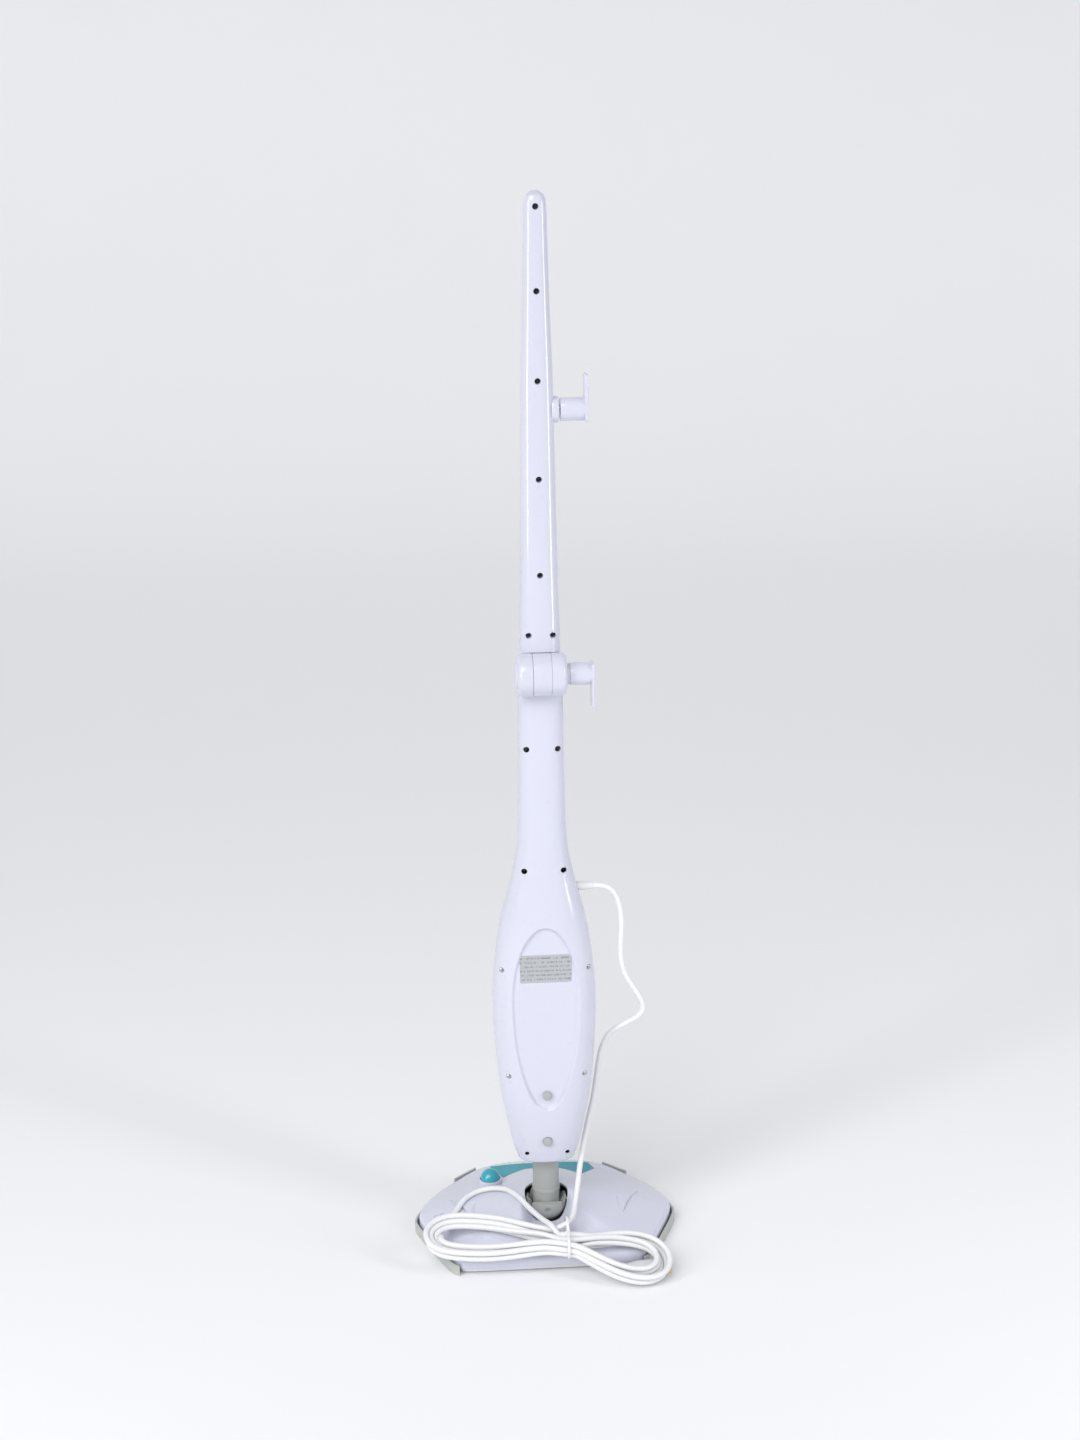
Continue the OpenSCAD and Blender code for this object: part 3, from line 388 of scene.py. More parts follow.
def head_top(x, y):
    """The shell's top: edge + (peak - edge) * (1 - s^1.2), less the valley behind the ball.

    s is 0 on the ball's axis and 1 on the outline. The valley's share across is
    exp(-(|x| / 24.4)^6), and it starts gently at the ball."""
    s = np.clip(np.hypot(x - BALL[0], y - BALL[1]) / rim_r(np.arctan2(y - BALL[1], x - BALL[0])), 0, 1.2)
    edge = 21 + 0.04 * y
    dome = edge + (62 - edge) * (1 - s**1.2)
    u = np.clip((14 - y) / 18, 0, 1)
    m = np.exp(-((np.abs(x) / 24.4) ** 6)) * u * u * (3 - 2 * u)
    return dome - m * np.maximum(dome - (19 + (y + 76) * 0.19), 0)


def settle(line, rounds=140, fixed=24):
    """Pushes strands apart to a diameter, off the floor and the head, and into the tie."""
    x, home = line.copy(), line.copy()
    i, j = np.triu_indices(len(x), 5)
    free = np.ones(len(x))
    free[:fixed] = np.clip((np.arange(fixed) - 6) / fixed, 0, 1)
    free[-12:] = 0
    for r in range(rounds):
        d = x[i] - x[j]
        gap = np.einsum("ij,ij->i", d, d)
        near = gap < (CORD_D + 0.1) ** 2
        a, b, v = i[near], j[near], d[near]
        dist = np.sqrt(gap[near]) + 1e-6
        push = v * (0.5 * (CORD_D + 0.1 - dist) / dist)[:, None]
        move = np.zeros_like(x)
        count = np.ones(len(x))
        np.add.at(move, a, push)
        np.add.at(move, b, -push)
        np.add.at(count, a, 0.5)
        np.add.at(count, b, 0.5)
        x += 0.8 * (move / count[:, None]) * free[:, None]
        if r < rounds - 25:
            soft = x.copy()
            soft[1:-1] = 0.25 * x[:-2] + 0.5 * x[1:-1] + 0.25 * x[2:]
            x += (0.5 * (soft - x) + 0.01 * (home - x)) * free[:, None]
        waist = np.abs(x[:, 0] - TIE[0]) < 11
        off = x[:, 1:] - (TIE[1:] + [0, 1.5])
        far = np.hypot(off[:, 0], off[:, 1])
        held = waist & (np.arange(len(x)) > 48) & (far > 12.6)
        pull = np.where(held, (far - 12.6) / np.maximum(far, 1) * 0.7, 0)
        x[:, 1:] -= off * (pull * free)[:, None]
        x[:, 2] = np.maximum(x[:, 2], CORD_D / 2)
        s = np.hypot(x[:, 0], x[:, 1] - BALL[1]) / rim_r(np.arctan2(x[:, 1] - BALL[1], x[:, 0]))
        floor = np.where(s < 1.03, head_top(x[:, 0], x[:, 1]) + CORD_D / 2 + 0.3, 0)
        x[:, 2] = np.where((free > 0) & (s < 1.03), np.maximum(x[:, 2], floor), x[:, 2])
    return x


hank_line = smooth_line(points, 3.4, 1)
hank_line[0] = lead_line[-1]
hank_line = resample(settle(hank_line), 2.4, 0)
print("lead %.3f m, bundle %.3f m, together %.2f m"
      % (length_of(lead_line), length_of(hank_line), length_of(lead_line) + length_of(hank_line)))

# %% [markdown]
# ## The cord's skin
#
# The sheath is a round tube carried along the settled line. The ring of each point is the last ring
# turned with the line, so the tube never twists. Two tubes meet where the lead reaches the bundle:
# the upper one runs beside the casing and the lower one lies on the head.

# %% Cord pieces
def tube_piece(name, line, radius, sides=12):
    """A round tube along a line. Each ring takes the one before it and turns with the line:
    u = u - t (u . t), made unit length, and v = t x u."""
    line = np.asarray(line, float)
    d = np.gradient(line, axis=0)
    d /= np.linalg.norm(d, axis=1)[:, None]
    u = np.cross(d[0], [0.1, 1, 0.05])
    u /= np.linalg.norm(u)
    a = np.linspace(0, 2 * np.pi, sides, endpoint=False)
    rings = []
    for p, t, r in zip(line, d, np.broadcast_to(radius, len(line))):
        u = u - t * (u @ t)
        u /= np.linalg.norm(u)
        rings.append(p + r * (np.cos(a)[:, None] * u + np.sin(a)[:, None] * np.cross(t, u)))
    return ring_loft(name, rings, None, sharp=60)


def rounded_box(size, radius, steps=4):
    """A box as rings of points from bottom to top, with round corners and edges."""
    x, y, z = np.array(size, float) / 2
    rings = []
    for h in np.linspace(0, math.pi / 2, steps + 1):
        inset, low = radius * (1 - math.sin(h)), radius * (1 - math.cos(h))
        rings.append((inset, -z + low))
    rings += [(i, -h) for i, h in rings[::-1]]
    out = []
    for inset, h in rings:
        ring = []
        for cx, cy, a0 in ((x, y, 0), (-x, y, 90), (-x, -y, 180), (x, -y, 270)):
            for a in np.radians(np.linspace(a0, a0 + 90, steps + 2)):
                ring.append((cx - math.copysign(radius, cx) + (radius - inset) * math.cos(a),
                             cy - math.copysign(radius, cy) + (radius - inset) * math.sin(a), h))
        out.append(ring)
    return np.array(out)


cord_lead = tube_piece("cord_lead_drop", lead_line, CORD_D / 2, 14)
cord_hank = tube_piece("cord_bundle", hank_line, CORD_D / 2, 12)
join_at = tuple(place(lead_line[-1])[0])
tuple(place([44, -2, 132])[0])
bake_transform(cord_lead)
tuple(place([28, -58, 51])[0])
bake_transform(cord_hank)
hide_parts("cord_lead")
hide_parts("cord_tail", "cord_hank_left", "cord_hank_right", "cord_waist", "cord_end")

# %% [markdown]
# ## Strain relief and plug
#
# The strain relief is a tapered sleeve from inside the casing's side to the free cord. The plug is a
# slim moulded body with a waist at the cord's side, lofted through squarish rings, and two flat blades.

# %% Strain relief and plug
relief_x = np.linspace(34, 57, 47)
relief_r = np.interp(relief_x, [34, 44, 46, 56, 57], [5.0, 5.0, 4.9, 3.9, 3.6])
relief = lathe("strain_relief", [(0, 0)] + list(zip(relief_r, relief_x - 34)) + [(0, 22.5)],
               (34, 0, GLAND_Z), (1, 0, 0), "casing", sharp=50)
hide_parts("cord_gland")

PLUG_Y, PLUG_Z = -94, 8
# Each ring of the plug: place along it, half width, half thickness
PLUG_BODY = [(84, 5, 4.6), (84.4, 6, 5.4), (88, 7.4, 6.2), (93, 9.6, 6.9), (99, 11.2, 7.3), (106, 11.8, 7.5),
             (114, 12, 7.5), (117, 11.6, 7.2), (118, 10.8, 6.6)]
body_rings = []
for x, w, t in PLUG_BODY:
    a = np.linspace(0, 2 * np.pi, 40, endpoint=False)
    c, s = np.cos(a), np.sin(a)
    body_rings.append(np.stack([np.full(40, x), PLUG_Y + w * np.sign(c) * np.abs(c) ** 0.62,
                                PLUG_Z + t * np.sign(s) * np.abs(s) ** 0.62], 1))
plug = ring_loft("plug_body", body_rings, "head", sharp=50)
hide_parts("power_plug")
blades = []
for k, s in enumerate((-1, 1)):
    box = rounded_box((17, 1.6, 6.4), 0.5)
    box = box + [126.4, PLUG_Y + s * 6.35, PLUG_Z]
    blades.append(ring_loft("plug_blade_%d" % (k + 1), box, "head"))
print("plug:", len(plug.data.polygons), "faces and", len(blades), "blades")

# %% [markdown]
# ## The tie
#
# A flat wire tie hugs the bundle's waist: round the middle of the strands, its reach in a direction is
# the furthest strand's, and the hollows between strands are bridged as a taut band would. Its two ends
# are twisted together.

# %% Tie
tie_a = np.linspace(0, 2 * np.pi, 72, endpoint=False)
near = np.abs(hank_line[:, 0] - TIE[0]) < 3
section = hank_line[near][:, 1:]
middle = section.mean(0)
along = (section - middle) @ np.array([np.cos(tie_a), np.sin(tie_a)])
reach = along.max(0) + CORD_D / 2 + 0.2
for _ in range(6):
    reach = np.maximum(reach, 0.5 * (np.roll(reach, 1) + np.roll(reach, -1)))
rings = []
for x, r in ((-1.6, 0.0), (-1.5, 0.7), (0, 1.0), (1.5, 0.7), (1.6, 0.0)):
    rr = reach + r
    rings.append(np.stack([np.full(72, TIE[0] + x), middle[0] + rr * np.cos(tie_a),
                           middle[1] + rr * np.sin(tie_a)], 1))
cord_tie = ring_loft("cord_tie_band", rings, "head", caps=(False, False))
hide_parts("cord_tie")
twist = []
for k, phase in enumerate((0, math.pi)):
    t = np.linspace(0, 1, 40)
    ang = phase + t * 5 * math.pi
    top = middle + np.array([-0.55, 0.83]) * reach.max() * 0.93
    line = np.stack([TIE[0] + 0.9 * np.cos(ang) - t * 5, top[0] - 5 * t + 0.9 * np.sin(ang) * 0.6,
                     top[1] + 4 * t - 5 * t**2 + 0.9 * np.sin(ang) * 0.8], 1)
    twist.append(tube_piece("cord_tie_end_%d" % (k + 1), line, 0.75, 8))
    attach(twist[-1], "head")
tuple(place(lead_line[0])[0])
place(lead_line).tolist()
place(hank_line).tolist()
print("tie reaches", round(float(reach.min()), 1), "to", round(float(reach.max()), 1), "mm from its middle")

# %% [markdown]
# ## Materials
#
# Moulded plastic is never one flat colour. Each finish mixes two near shades with a slow noise, lets
# the roughness drift, and adds a fine relief: orange peel on gloss, spark texture on matt parts,
# brushing on metal. All of them read the Object coordinates, so the grain keeps its size in metres.

# %% Material library
def add(tree, kind, **values):
    """A new node; values go to its properties, or to its inputs when written as in_Name."""
    node = tree.nodes.new("ShaderNode" + kind)
    for key, value in values.items():
        if key.startswith("in_"):
            node.inputs[key[3:].replace("_", " ")].default_value = value
        else:
            setattr(node, key, value)
    return node


def finish(name, colour, rough=0.4, drift=0.04, slow=14.0, fine=900.0, relief=0.05, stretch=(1, 1, 1),
           spread=0.05, specks=0.0, **shader):
    """A procedural finish.

    colour = mix(colour * (1 - drift), colour * (1 + drift), slow noise)
    roughness = rough + spread * (slow noise - 0.5) * 2, and the bump height is the fine noise.
    specks adds small darker dust points; shader gives further Principled inputs."""
    mat = bpy.data.materials.new(name)
    mat.use_nodes = True
    tree = mat.node_tree
    bsdf = tree.nodes["Principled BSDF"]
    coord = add(tree, "TexCoord")
    scaled = add(tree, "Mapping", in_Scale=stretch)
    tree.links.new(coord.outputs["Object"], scaled.inputs["Vector"])
    broad = add(tree, "TexNoise", in_Scale=slow, in_Detail=4.0, in_Roughness=0.6)
    grain = add(tree, "TexNoise", in_Scale=fine, in_Detail=2.0, in_Roughness=0.5)
    for tex in (broad, grain):
        tree.links.new(scaled.outputs["Vector"], tex.inputs["Vector"])
    low = [c * (1 - drift) for c in colour] + [1]
    high = [min(c * (1 + drift), 1) for c in colour] + [1]
    mix = add(tree, "Mix", data_type="RGBA")
    mix.inputs[6].default_value, mix.inputs[7].default_value = low, high
    tree.links.new(broad.outputs["Fac"], mix.inputs[0])
    shade = mix.outputs[2]
    if specks:
        dots = add(tree, "TexNoise", in_Scale=fine * 0.45, in_Detail=1.0)
        tree.links.new(coord.outputs["Object"], dots.inputs["Vector"])
        pick = add(tree, "MapRange", in_From_Min=0.70, in_From_Max=0.78, in_To_Min=0.0, in_To_Max=specks)
        tree.links.new(dots.outputs["Fac"], pick.inputs["Value"])
        dust = add(tree, "Mix", data_type="RGBA")
        dust.inputs[7].default_value = [c * 0.55 for c in colour] + [1]
        tree.links.new(pick.outputs["Result"], dust.inputs[0])
        tree.links.new(shade, dust.inputs[6])
        shade = dust.outputs[2]
    tree.links.new(shade, bsdf.inputs["Base Color"])
    drift_r = add(tree, "MapRange", in_From_Min=0.3, in_From_Max=0.7, in_To_Min=max(rough - spread, 0.02),
                  in_To_Max=rough + spread)
    tree.links.new(broad.outputs["Fac"], drift_r.inputs["Value"])
    tree.links.new(drift_r.outputs["Result"], bsdf.inputs["Roughness"])
    bump = add(tree, "Bump", in_Strength=min(relief * 4, 1.0), in_Distance=0.00025)
    tree.links.new(grain.outputs["Fac"], bump.inputs["Height"])
    tree.links.new(bump.outputs["Normal"], bsdf.inputs["Normal"])
    for key, value in shader.items():
        bsdf.inputs[key.replace("_", " ")].default_value = value
    return mat


MATERIALS = {
    "white_gloss": finish("white_gloss", (0.635, 0.645, 0.745), 0.15, 0.012, 9, 420, 0.02, spread=0.03,
                          specks=0.10, Coat_Weight=0.35, Coat_Roughness=0.06, Subsurface_Weight=0.04,
                          Subsurface_Scale=0.002),
    "white_matte": finish("white_matte", (0.70, 0.70, 0.735), 0.46, 0.02, 12, 1500, 0.10),
    "grey_plastic": finish("grey_plastic", (0.385, 0.400, 0.380), 0.36, 0.03, 12, 1300, 0.07),
    "glider_grey": finish("glider_grey", (0.47, 0.49, 0.465), 0.42, 0.03, 10, 1300, 0.09, specks=0.12),
    "pale_mint": finish("pale_mint", (0.62, 0.76, 0.75), 0.26, 0.015, 9, 600, 0.03, Coat_Weight=0.2),
    "teal": finish("teal", (0.040, 0.385, 0.465), 0.20, 0.04, 9, 500, 0.03, specks=0.08, Coat_Weight=0.3,
                   Coat_Roughness=0.08),
    "teal_satin": finish("teal_satin", (0.030, 0.345, 0.425), 0.42, 0.04, 9, 900, 0.05,
                         Specular_IOR_Level=0.22),
    "dark_plastic": finish("dark_plastic", (0.045, 0.045, 0.05), 0.45, 0.08, 12, 1400, 0.10),
    "screw_steel": finish("screw_steel", (0.56, 0.56, 0.57), 0.28, 0.06, 60, 1800, 0.06, stretch=(1, 1, 8),
                          spread=0.1, Metallic=1.0),
    "foil": finish("foil", (0.55, 0.56, 0.575), 0.30, 0.04, 16, 2600, 0.06, stretch=(1, 1, 0.04), spread=0.08,
                   Metallic=0.7, Coat_Weight=0.3, Coat_Roughness=0.15),
    "foot_rubber": finish("foot_rubber", (0.40, 0.41, 0.40), 0.62, 0.05, 20, 1700, 0.12, specks=0.1),
    "clear_tank": finish("clear_tank", (0.62, 0.80, 0.84), 0.10, 0.02, 9, 400, 0.02, Transmission_Weight=0.75,
                         IOR=1.49),
    "cord_sheath": finish("cord_sheath", (0.80, 0.80, 0.81), 0.40, 0.025, 30, 1100, 0.06, specks=0.16,
                          Subsurface_Weight=0.05, Subsurface_Scale=0.002),
    "plug_moulding": finish("plug_moulding", (0.75, 0.755, 0.77), 0.36, 0.02, 20, 1200, 0.07, specks=0.1),
    "heater_metal": finish("heater_metal", (0.52, 0.52, 0.53), 0.42, 0.08, 40, 700, 0.2, spread=0.12,
                           Metallic=1.0),
    "copper_brass": finish("copper_brass", (0.70, 0.52, 0.24), 0.28, 0.06, 60, 1900, 0.05,
                           stretch=(0.2, 1, 1), spread=0.1, Metallic=1.0),
    "board_green": finish("board_green", (0.02, 0.16, 0.07), 0.34, 0.15, 150, 900, 0.05),
    "hose_silicone": finish("hose_silicone", (0.62, 0.60, 0.56), 0.48, 0.04, 20, 900, 0.05,
                            Subsurface_Weight=0.2, Subsurface_Scale=0.003),
    "seal_rubber": finish("seal_rubber", (0.10, 0.10, 0.105), 0.6, 0.08, 20, 1500, 0.12),
    "lens_red": finish("lens_red", (0.55, 0.03, 0.03), 0.12, 0.05, 30, 500, 0.02, Coat_Weight=0.5),
    "hook_tape": finish("hook_tape", (0.50, 0.51, 0.50), 0.85, 0.10, 400, 2600, 0.5, spread=0.08),
}
slots = {part["node"]: part["material_slot"] for part in frame["record"]["subparts"]}
print("slots known for", len(slots), "nodes of", len(nodes))
for name, ob in nodes.items():
    for slot in ob.material_slots:
        slot.material = MATERIALS[slots[name]]


def dress(ob, slot, replaces=(), bevel=0.0):
    """Gives a new piece the finish of its slot and hides the CAD nodes it stands for."""
    ob.data.materials.clear()
    ob.data.materials.append(MATERIALS[slot])
    if replaces:
        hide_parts(*replaces)
    if bevel:
        m = ob.modifiers.new("edge", "BEVEL")
        m.width, m.segments, m.limit_method, m.angle_limit = bevel / 1000, 2, "ANGLE", math.radians(35)
        m.harden_normals = True


for ob in (cord_lead, cord_hank, cord_tie, *twist):
    dress(ob, "cord_sheath")
dress(relief, "plug_moulding")
dress(plug, "plug_moulding")
for ob in blades:
    dress(ob, "copper_brass")

# %% [markdown]
# ## Moulded shells
#
# The casing and the handle are each two half shells that meet at a seam. A half's section is a
# superellipse whose half width and depth follow smooth tables along the height, so one function of two
# parameters, the angle round the section and the height, gives the whole skin. The halves become solid
# with a flat face at the seam; the room inside, the screw wells and the hinge's room are carved out.

# %% Shell formulas
HINGE_Z, CASING_Z0, CASING_LEN, HANDLE_Z0, HANDLE_LEN = 693.0, 110.0, 582.0, 694.0, 506.0
CASING_HW, CASING_REAR, CASING_FRONT, HANDLE_HW = 58.8, 37.0, 56.0, 22.4
SECTION = 2 / 2.7
HINGE_BACK, BARREL_R, BARREL_HW = -21.0, 23.5, 27.0
CASING = np.array([
    [0, .553, .63, .46], [.03, .655, .72, .51], [.091, .782, .87, .65], [.146, .884, .95, .80],
    [.227, .961, .98, .95], [.313, 1, 1, 1], [.390, .981, .99, .98], [.498, .842, .92, .80],
    [.598, .592, .74, .58], [.660, .480, .64, .48], [.741, .442, .56, .42], [.844, .425, .52, .40],
    [1, .413, .50, .40]])
HANDLE = np.array([
    [0, 1, .82, .98], [.073, .978, .81, .97], [.206, .902, .78, .88], [.453, .817, .72, .80],
    [.615, .76, .68, .76], [.798, .63, .60, .72], [.920, .56, .56, .68], [.968, .535, .54, .64],
    [.990, .43, .42, .46], [1, .15, .15, .16]])


def at(table, t, k):
    """Cubic Hermite through column k of a table at share t.

    The slope at a row is the line through its neighbours; the ends use the nearest pair."""
    t = np.asarray(t, float)
    x, y = table[:, 0], table[:, k]
    m = np.empty_like(y)
    m[1:-1] = (y[2:] - y[:-2]) / (x[2:] - x[:-2])
    m[0], m[-1] = (y[1] - y[0]) / (x[1] - x[0]), (y[-1] - y[-2]) / (x[-1] - x[-2])
    i = np.clip(np.searchsorted(x, t, side="right") - 1, 0, len(x) - 2)
    h = x[i + 1] - x[i]
    u = (t - x[i]) / h
    return ((1 + 2 * u) * (1 - u) ** 2 * y[i] + u * (1 - u) ** 2 * h * m[i]
            + u * u * (3 - 2 * u) * y[i + 1] + u * u * (u - 1) * h * m[i + 1])


def power(v, e):
    """|v|^e with the sign of v."""
    return np.sign(v) * np.abs(v) ** e


def half_grid(kind, side, t, grow=0.0, columns=72, seam=0.0):
    """Rows of a half shell's skin at shares t.

    x = -side * (w + grow) * cos(a)^e and y = side * (d + grow) * sin(a)^e, with a from 0 to 180 degrees.
    With seam, the edges turn in by that much where the halves meet."""
    table, z0, length = ((CASING, CASING_Z0, CASING_LEN) if kind == "casing"
                         else (HANDLE, HANDLE_Z0, HANDLE_LEN))
    w = at(table, t, 1) * (CASING_HW if kind == "casing" else HANDLE_HW)
    depth = {("casing", -1): CASING_REAR, ("casing", 1): CASING_FRONT}.get((kind, side), HANDLE_HW)
    d = at(table, t, 2 if side < 0 else 3) * depth
    a = np.linspace(0, np.pi, columns)
    x = -side * (w[:, None] + grow) * power(np.cos(a), SECTION)
    y = side * (d[:, None] + grow) * power(np.abs(np.sin(a)), SECTION)
    if seam:
        tuck = seam * np.clip(1 - np.abs(y) / 0.9, 0, 1) ** 2
        x = x - np.sign(x) * np.minimum(tuck, np.abs(x))
    z = np.broadcast_to((z0 + np.asarray(t) * length)[:, None], x.shape)
    return np.stack([x, y, z], -1)


def closed_half(name, grid, past=0.0, side=1):
    """The solid between a half skin and the seam plane, moved past the seam when it is a cutter."""
    first, last = grid[:, :1].copy(), grid[:, -1:].copy()
    first[..., 1] = last[..., 1] = -side * past
    return ring_loft(name, np.concatenate([first, grid, last], 1) if past else grid, None)


def rod(name, centre, axis, radius, length, steps=40):
    """A plain cylinder from centre along axis, used as a cutter."""
    return lathe(name, [(0, 0), (radius, 0), (radius, length), (0, length)], centre, axis, None, steps)


def slab(name, low, high):
    """A plain box between two corners, used as a cutter or a hidden block."""
    (x0, y0, z0), (x1, y1, z1) = low, high
    ring = [(x0, y0), (x1, y0), (x1, y1), (x0, y1)]
    return ring_loft(name, [[(x, y, z) for x, y in ring] for z in (z0, z1)], None)


def carve(ob, cutters, operation="DIFFERENCE", sharp=38):
    """Cuts, joins or intersects with solids one after another and removes them."""
    for cutter in cutters:
        m = ob.modifiers.new("cut", "BOOLEAN")
        m.operation, m.solver, m.object = operation, "EXACT", cutter
    graph = bpy.context.evaluated_depsgraph_get()
    made = bpy.data.meshes.new_from_object(ob.evaluated_get(graph))
    ob.modifiers.clear()
    ob.data = made
    for cutter in cutters:
        bpy.data.objects.remove(cutter)
    finish_mesh(ob, sharp)
    return ob


def back_y(kind, z):
    """The rear surface's depth on the middle line at a height."""
    if kind == "casing":
        return float(at(CASING, (z - CASING_Z0) / CASING_LEN, 2) * CASING_REAR)
    return float(at(HANDLE, (z - HANDLE_Z0) / HANDLE_LEN, 2) * HANDLE_HW)


def screw_well(name, x, z, mouth, seat, radius=3.3, lip=0.5):
    """A well with a softened mouth: a cylinder from the seat, flared by lip where it meets the skin."""
    deep = mouth - seat
    profile = [(0, 0), (radius, 0), (radius, deep - lip), (radius + lip * 0.35, deep - lip * 0.35),
               (radius + lip, deep), (radius + lip, deep + 20), (0, deep + 20)]
    return lathe(name, profile, (x, -seat, z), (0, -1, 0), None, 32)


def skin_y(kind, x, z):
    """The rear skin's depth at (x, z): depth * (1 - |x / w|^(2/e))^(e/2). Arrays work too."""
    table, z0, length, hw, dep = ((CASING, CASING_Z0, CASING_LEN, CASING_HW, CASING_REAR) if kind == "casing"
                                  else (HANDLE, HANDLE_Z0, HANDLE_LEN, HANDLE_HW, HANDLE_HW))
    t = (np.asarray(z, float) - z0) / length
    u = np.clip(np.abs(x) / (at(table, t, 1) * hw), 0, 1)
    return at(table, t, 2) * dep * (1 - u ** (2 / SECTION)) ** (SECTION / 2)

# %% [markdown]
# ## Casing
#
# The rear cover has an egg-shaped recess with a soft wall, deep wells for the dark screws, shallow
# seats for the bright ones and for the feet. The front cover has the tank's bay and two round holes.
# Both leave room for the neck, the cord and the hinge's drum.

# %% Casing
DIAL_Z, LENS_Z, NECK_Y = 430, 455, 8
EGG_LOW, EGG_WIDE, EGG_TOP, EGG_HW = 180, 314, 405, 39.4
DARK_WELLS, LOW_WELLS = [(17.4, 607), (22, 468)], (23.4, 122)
BRIGHT_SCREWS, FEET = [(49.4, 352), (43.5, 223)], (199, 140)
RECESS_FLOOR = CASING_REAR * 0.93 - 4
T_CASING = np.concatenate([[0, 0.001, 0.003], np.linspace(0.006, 1, 150)])
T_INSIDE = np.linspace(0.005, (CASING_LEN - 26) / CASING_LEN, 60)


def egg_ring(inset, share=1.0):
    """x and z of the egg outline: two half ellipses sharing their widest line, drawn in by inset."""
    a = np.linspace(0, 2 * np.pi, 160, endpoint=False)
    tall = np.where(np.sin(a) > 0, EGG_TOP - EGG_WIDE, EGG_WIDE - EGG_LOW) - inset
    return (EGG_HW - inset) * np.cos(a) * share, EGG_WIDE + np.sin(a) * tall * share


def egg_bowl(name, wall=4.6):
    """The recess as a cutter. Its floor is RECESS_FLOOR deep, or 3.4 mm under the skin at the sides.

    Across the wall the depth is skin - (skin - floor) * u^2 * (3 - 2u), with u from 0 at the outline to 1."""
    rows = []
    x, z = egg_ring(0)
    rows.append(np.stack([x, np.full(160, -80.0), z], 1))
    steps = [(d, 1.0) for d in np.linspace(0, wall, 12)] + [(wall, k) for k in np.linspace(0.96, 0.02, 22)]
    for inset, share in steps:
        x, z = egg_ring(inset, share)
        skin = skin_y("casing", x, z)
        u = inset / wall
        floor_y = np.minimum(RECESS_FLOOR, skin - 3.4)
        rows.append(np.stack([x, -(skin + 0.03 - (skin + 0.03 - floor_y) * u * u * (3 - 2 * u)), z], 1))
    return ring_loft(name, rows, None)


def casing_shell(side):
    """One cover of the casing: the solid half, less its room, less what each side needs."""
    grid = half_grid("casing", side, T_CASING, seam=0.5)
    grid[0, :, :2] *= 0.965
    grid[1, :, :2] *= 0.985
    shell = closed_half("cover", grid)
    room = closed_half("room", half_grid("casing", side, T_INSIDE, -2.4, 40), past=3, side=side)
    cuts = []
    if side < 0:
        room = carve(room, [slab("recess_wall", (-100, -80, 172), (100, -24, 413))])
        cuts.append(egg_bowl("egg"))
        for x, z in DARK_WELLS:
            for s in (-1, 1):
                mouth = skin_y("casing", x, z)
                cuts.append(screw_well("well", s * x, z, mouth, back_y("casing", z) * 0.6))
        for s in (-1, 1):
            mouth = skin_y("casing", *LOW_WELLS)
            cuts.append(screw_well("well", s * LOW_WELLS[0], LOW_WELLS[1], mouth, 9, 2.6, 0.4))
            for x, z in BRIGHT_SCREWS:
                cuts.append(rod("seat", (s * x, 0.8 - skin_y("casing", x, z), z), (0, -1, 0), 3.0, 30, 32))
        cuts.append(rod("foot_seat", (0, 0.8 - back_y("casing", FEET[1]), FEET[1]), (0, -1, 0), 5.8, 30))
    else:
        cuts.append(slab("bay", (-100, 24, 190), (100, 124, 404)))
        room = carve(room, [slab("bay_wall", (-100, 21, 187), (100, 121, 407))])
        for z, r in ((DIAL_Z, 3.4), (LENS_Z, 3.9)):
            cuts.append(rod("hole", (0, 5, z), (0, 1, 0), r, 75, 32))
    cuts += [room, rod("barrel_room", (-60, HINGE_BACK, HINGE_Z), (1, 0, 0), BARREL_R + 0.5, 120, 96),
             rod("gland_hole", (10, 0, GLAND_Z), (1, 0, 0), 5.6, 70, 32),
             rod("neck_hole", (0, NECK_Y, 60), (0, 0, 1), 15.8, 53, 64)]
    return carve(shell, cuts)


cover_rear = casing_shell(-1)
cover_rear.name = "casing_rear_skin"
cover_front = casing_shell(1)
cover_front.name = "casing_front_skin"
for ob, node in ((cover_rear, "rear_cover"), (cover_front, "front_cover")):
    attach(ob, "casing")
    dress(ob, "white_gloss", [node])
print("casing skins:", len(cover_rear.data.polygons), len(cover_front.data.polygons), "faces")

# %% [markdown]
# ## Handle
#
# The handle is the same kind of shell, narrower and ending in a round tip, so its rows crowd together
# near the end. Five screw wells run down the middle of its rear half, and two sit side by side at its
# foot. The front half has a slot for the steam button.

# %% Handle
MIDDLE_WELLS, PAIR, AXLE_Z = (1184, 1099, 1007, 904, 801), (13.2, 735), 976
T_TIP = 1 - 0.035 * np.linspace(1, 0, 26)[1:] ** 1.6
T_HANDLE = np.concatenate([[0, 0.002], np.linspace(0.005, 0.965, 120), T_TIP])


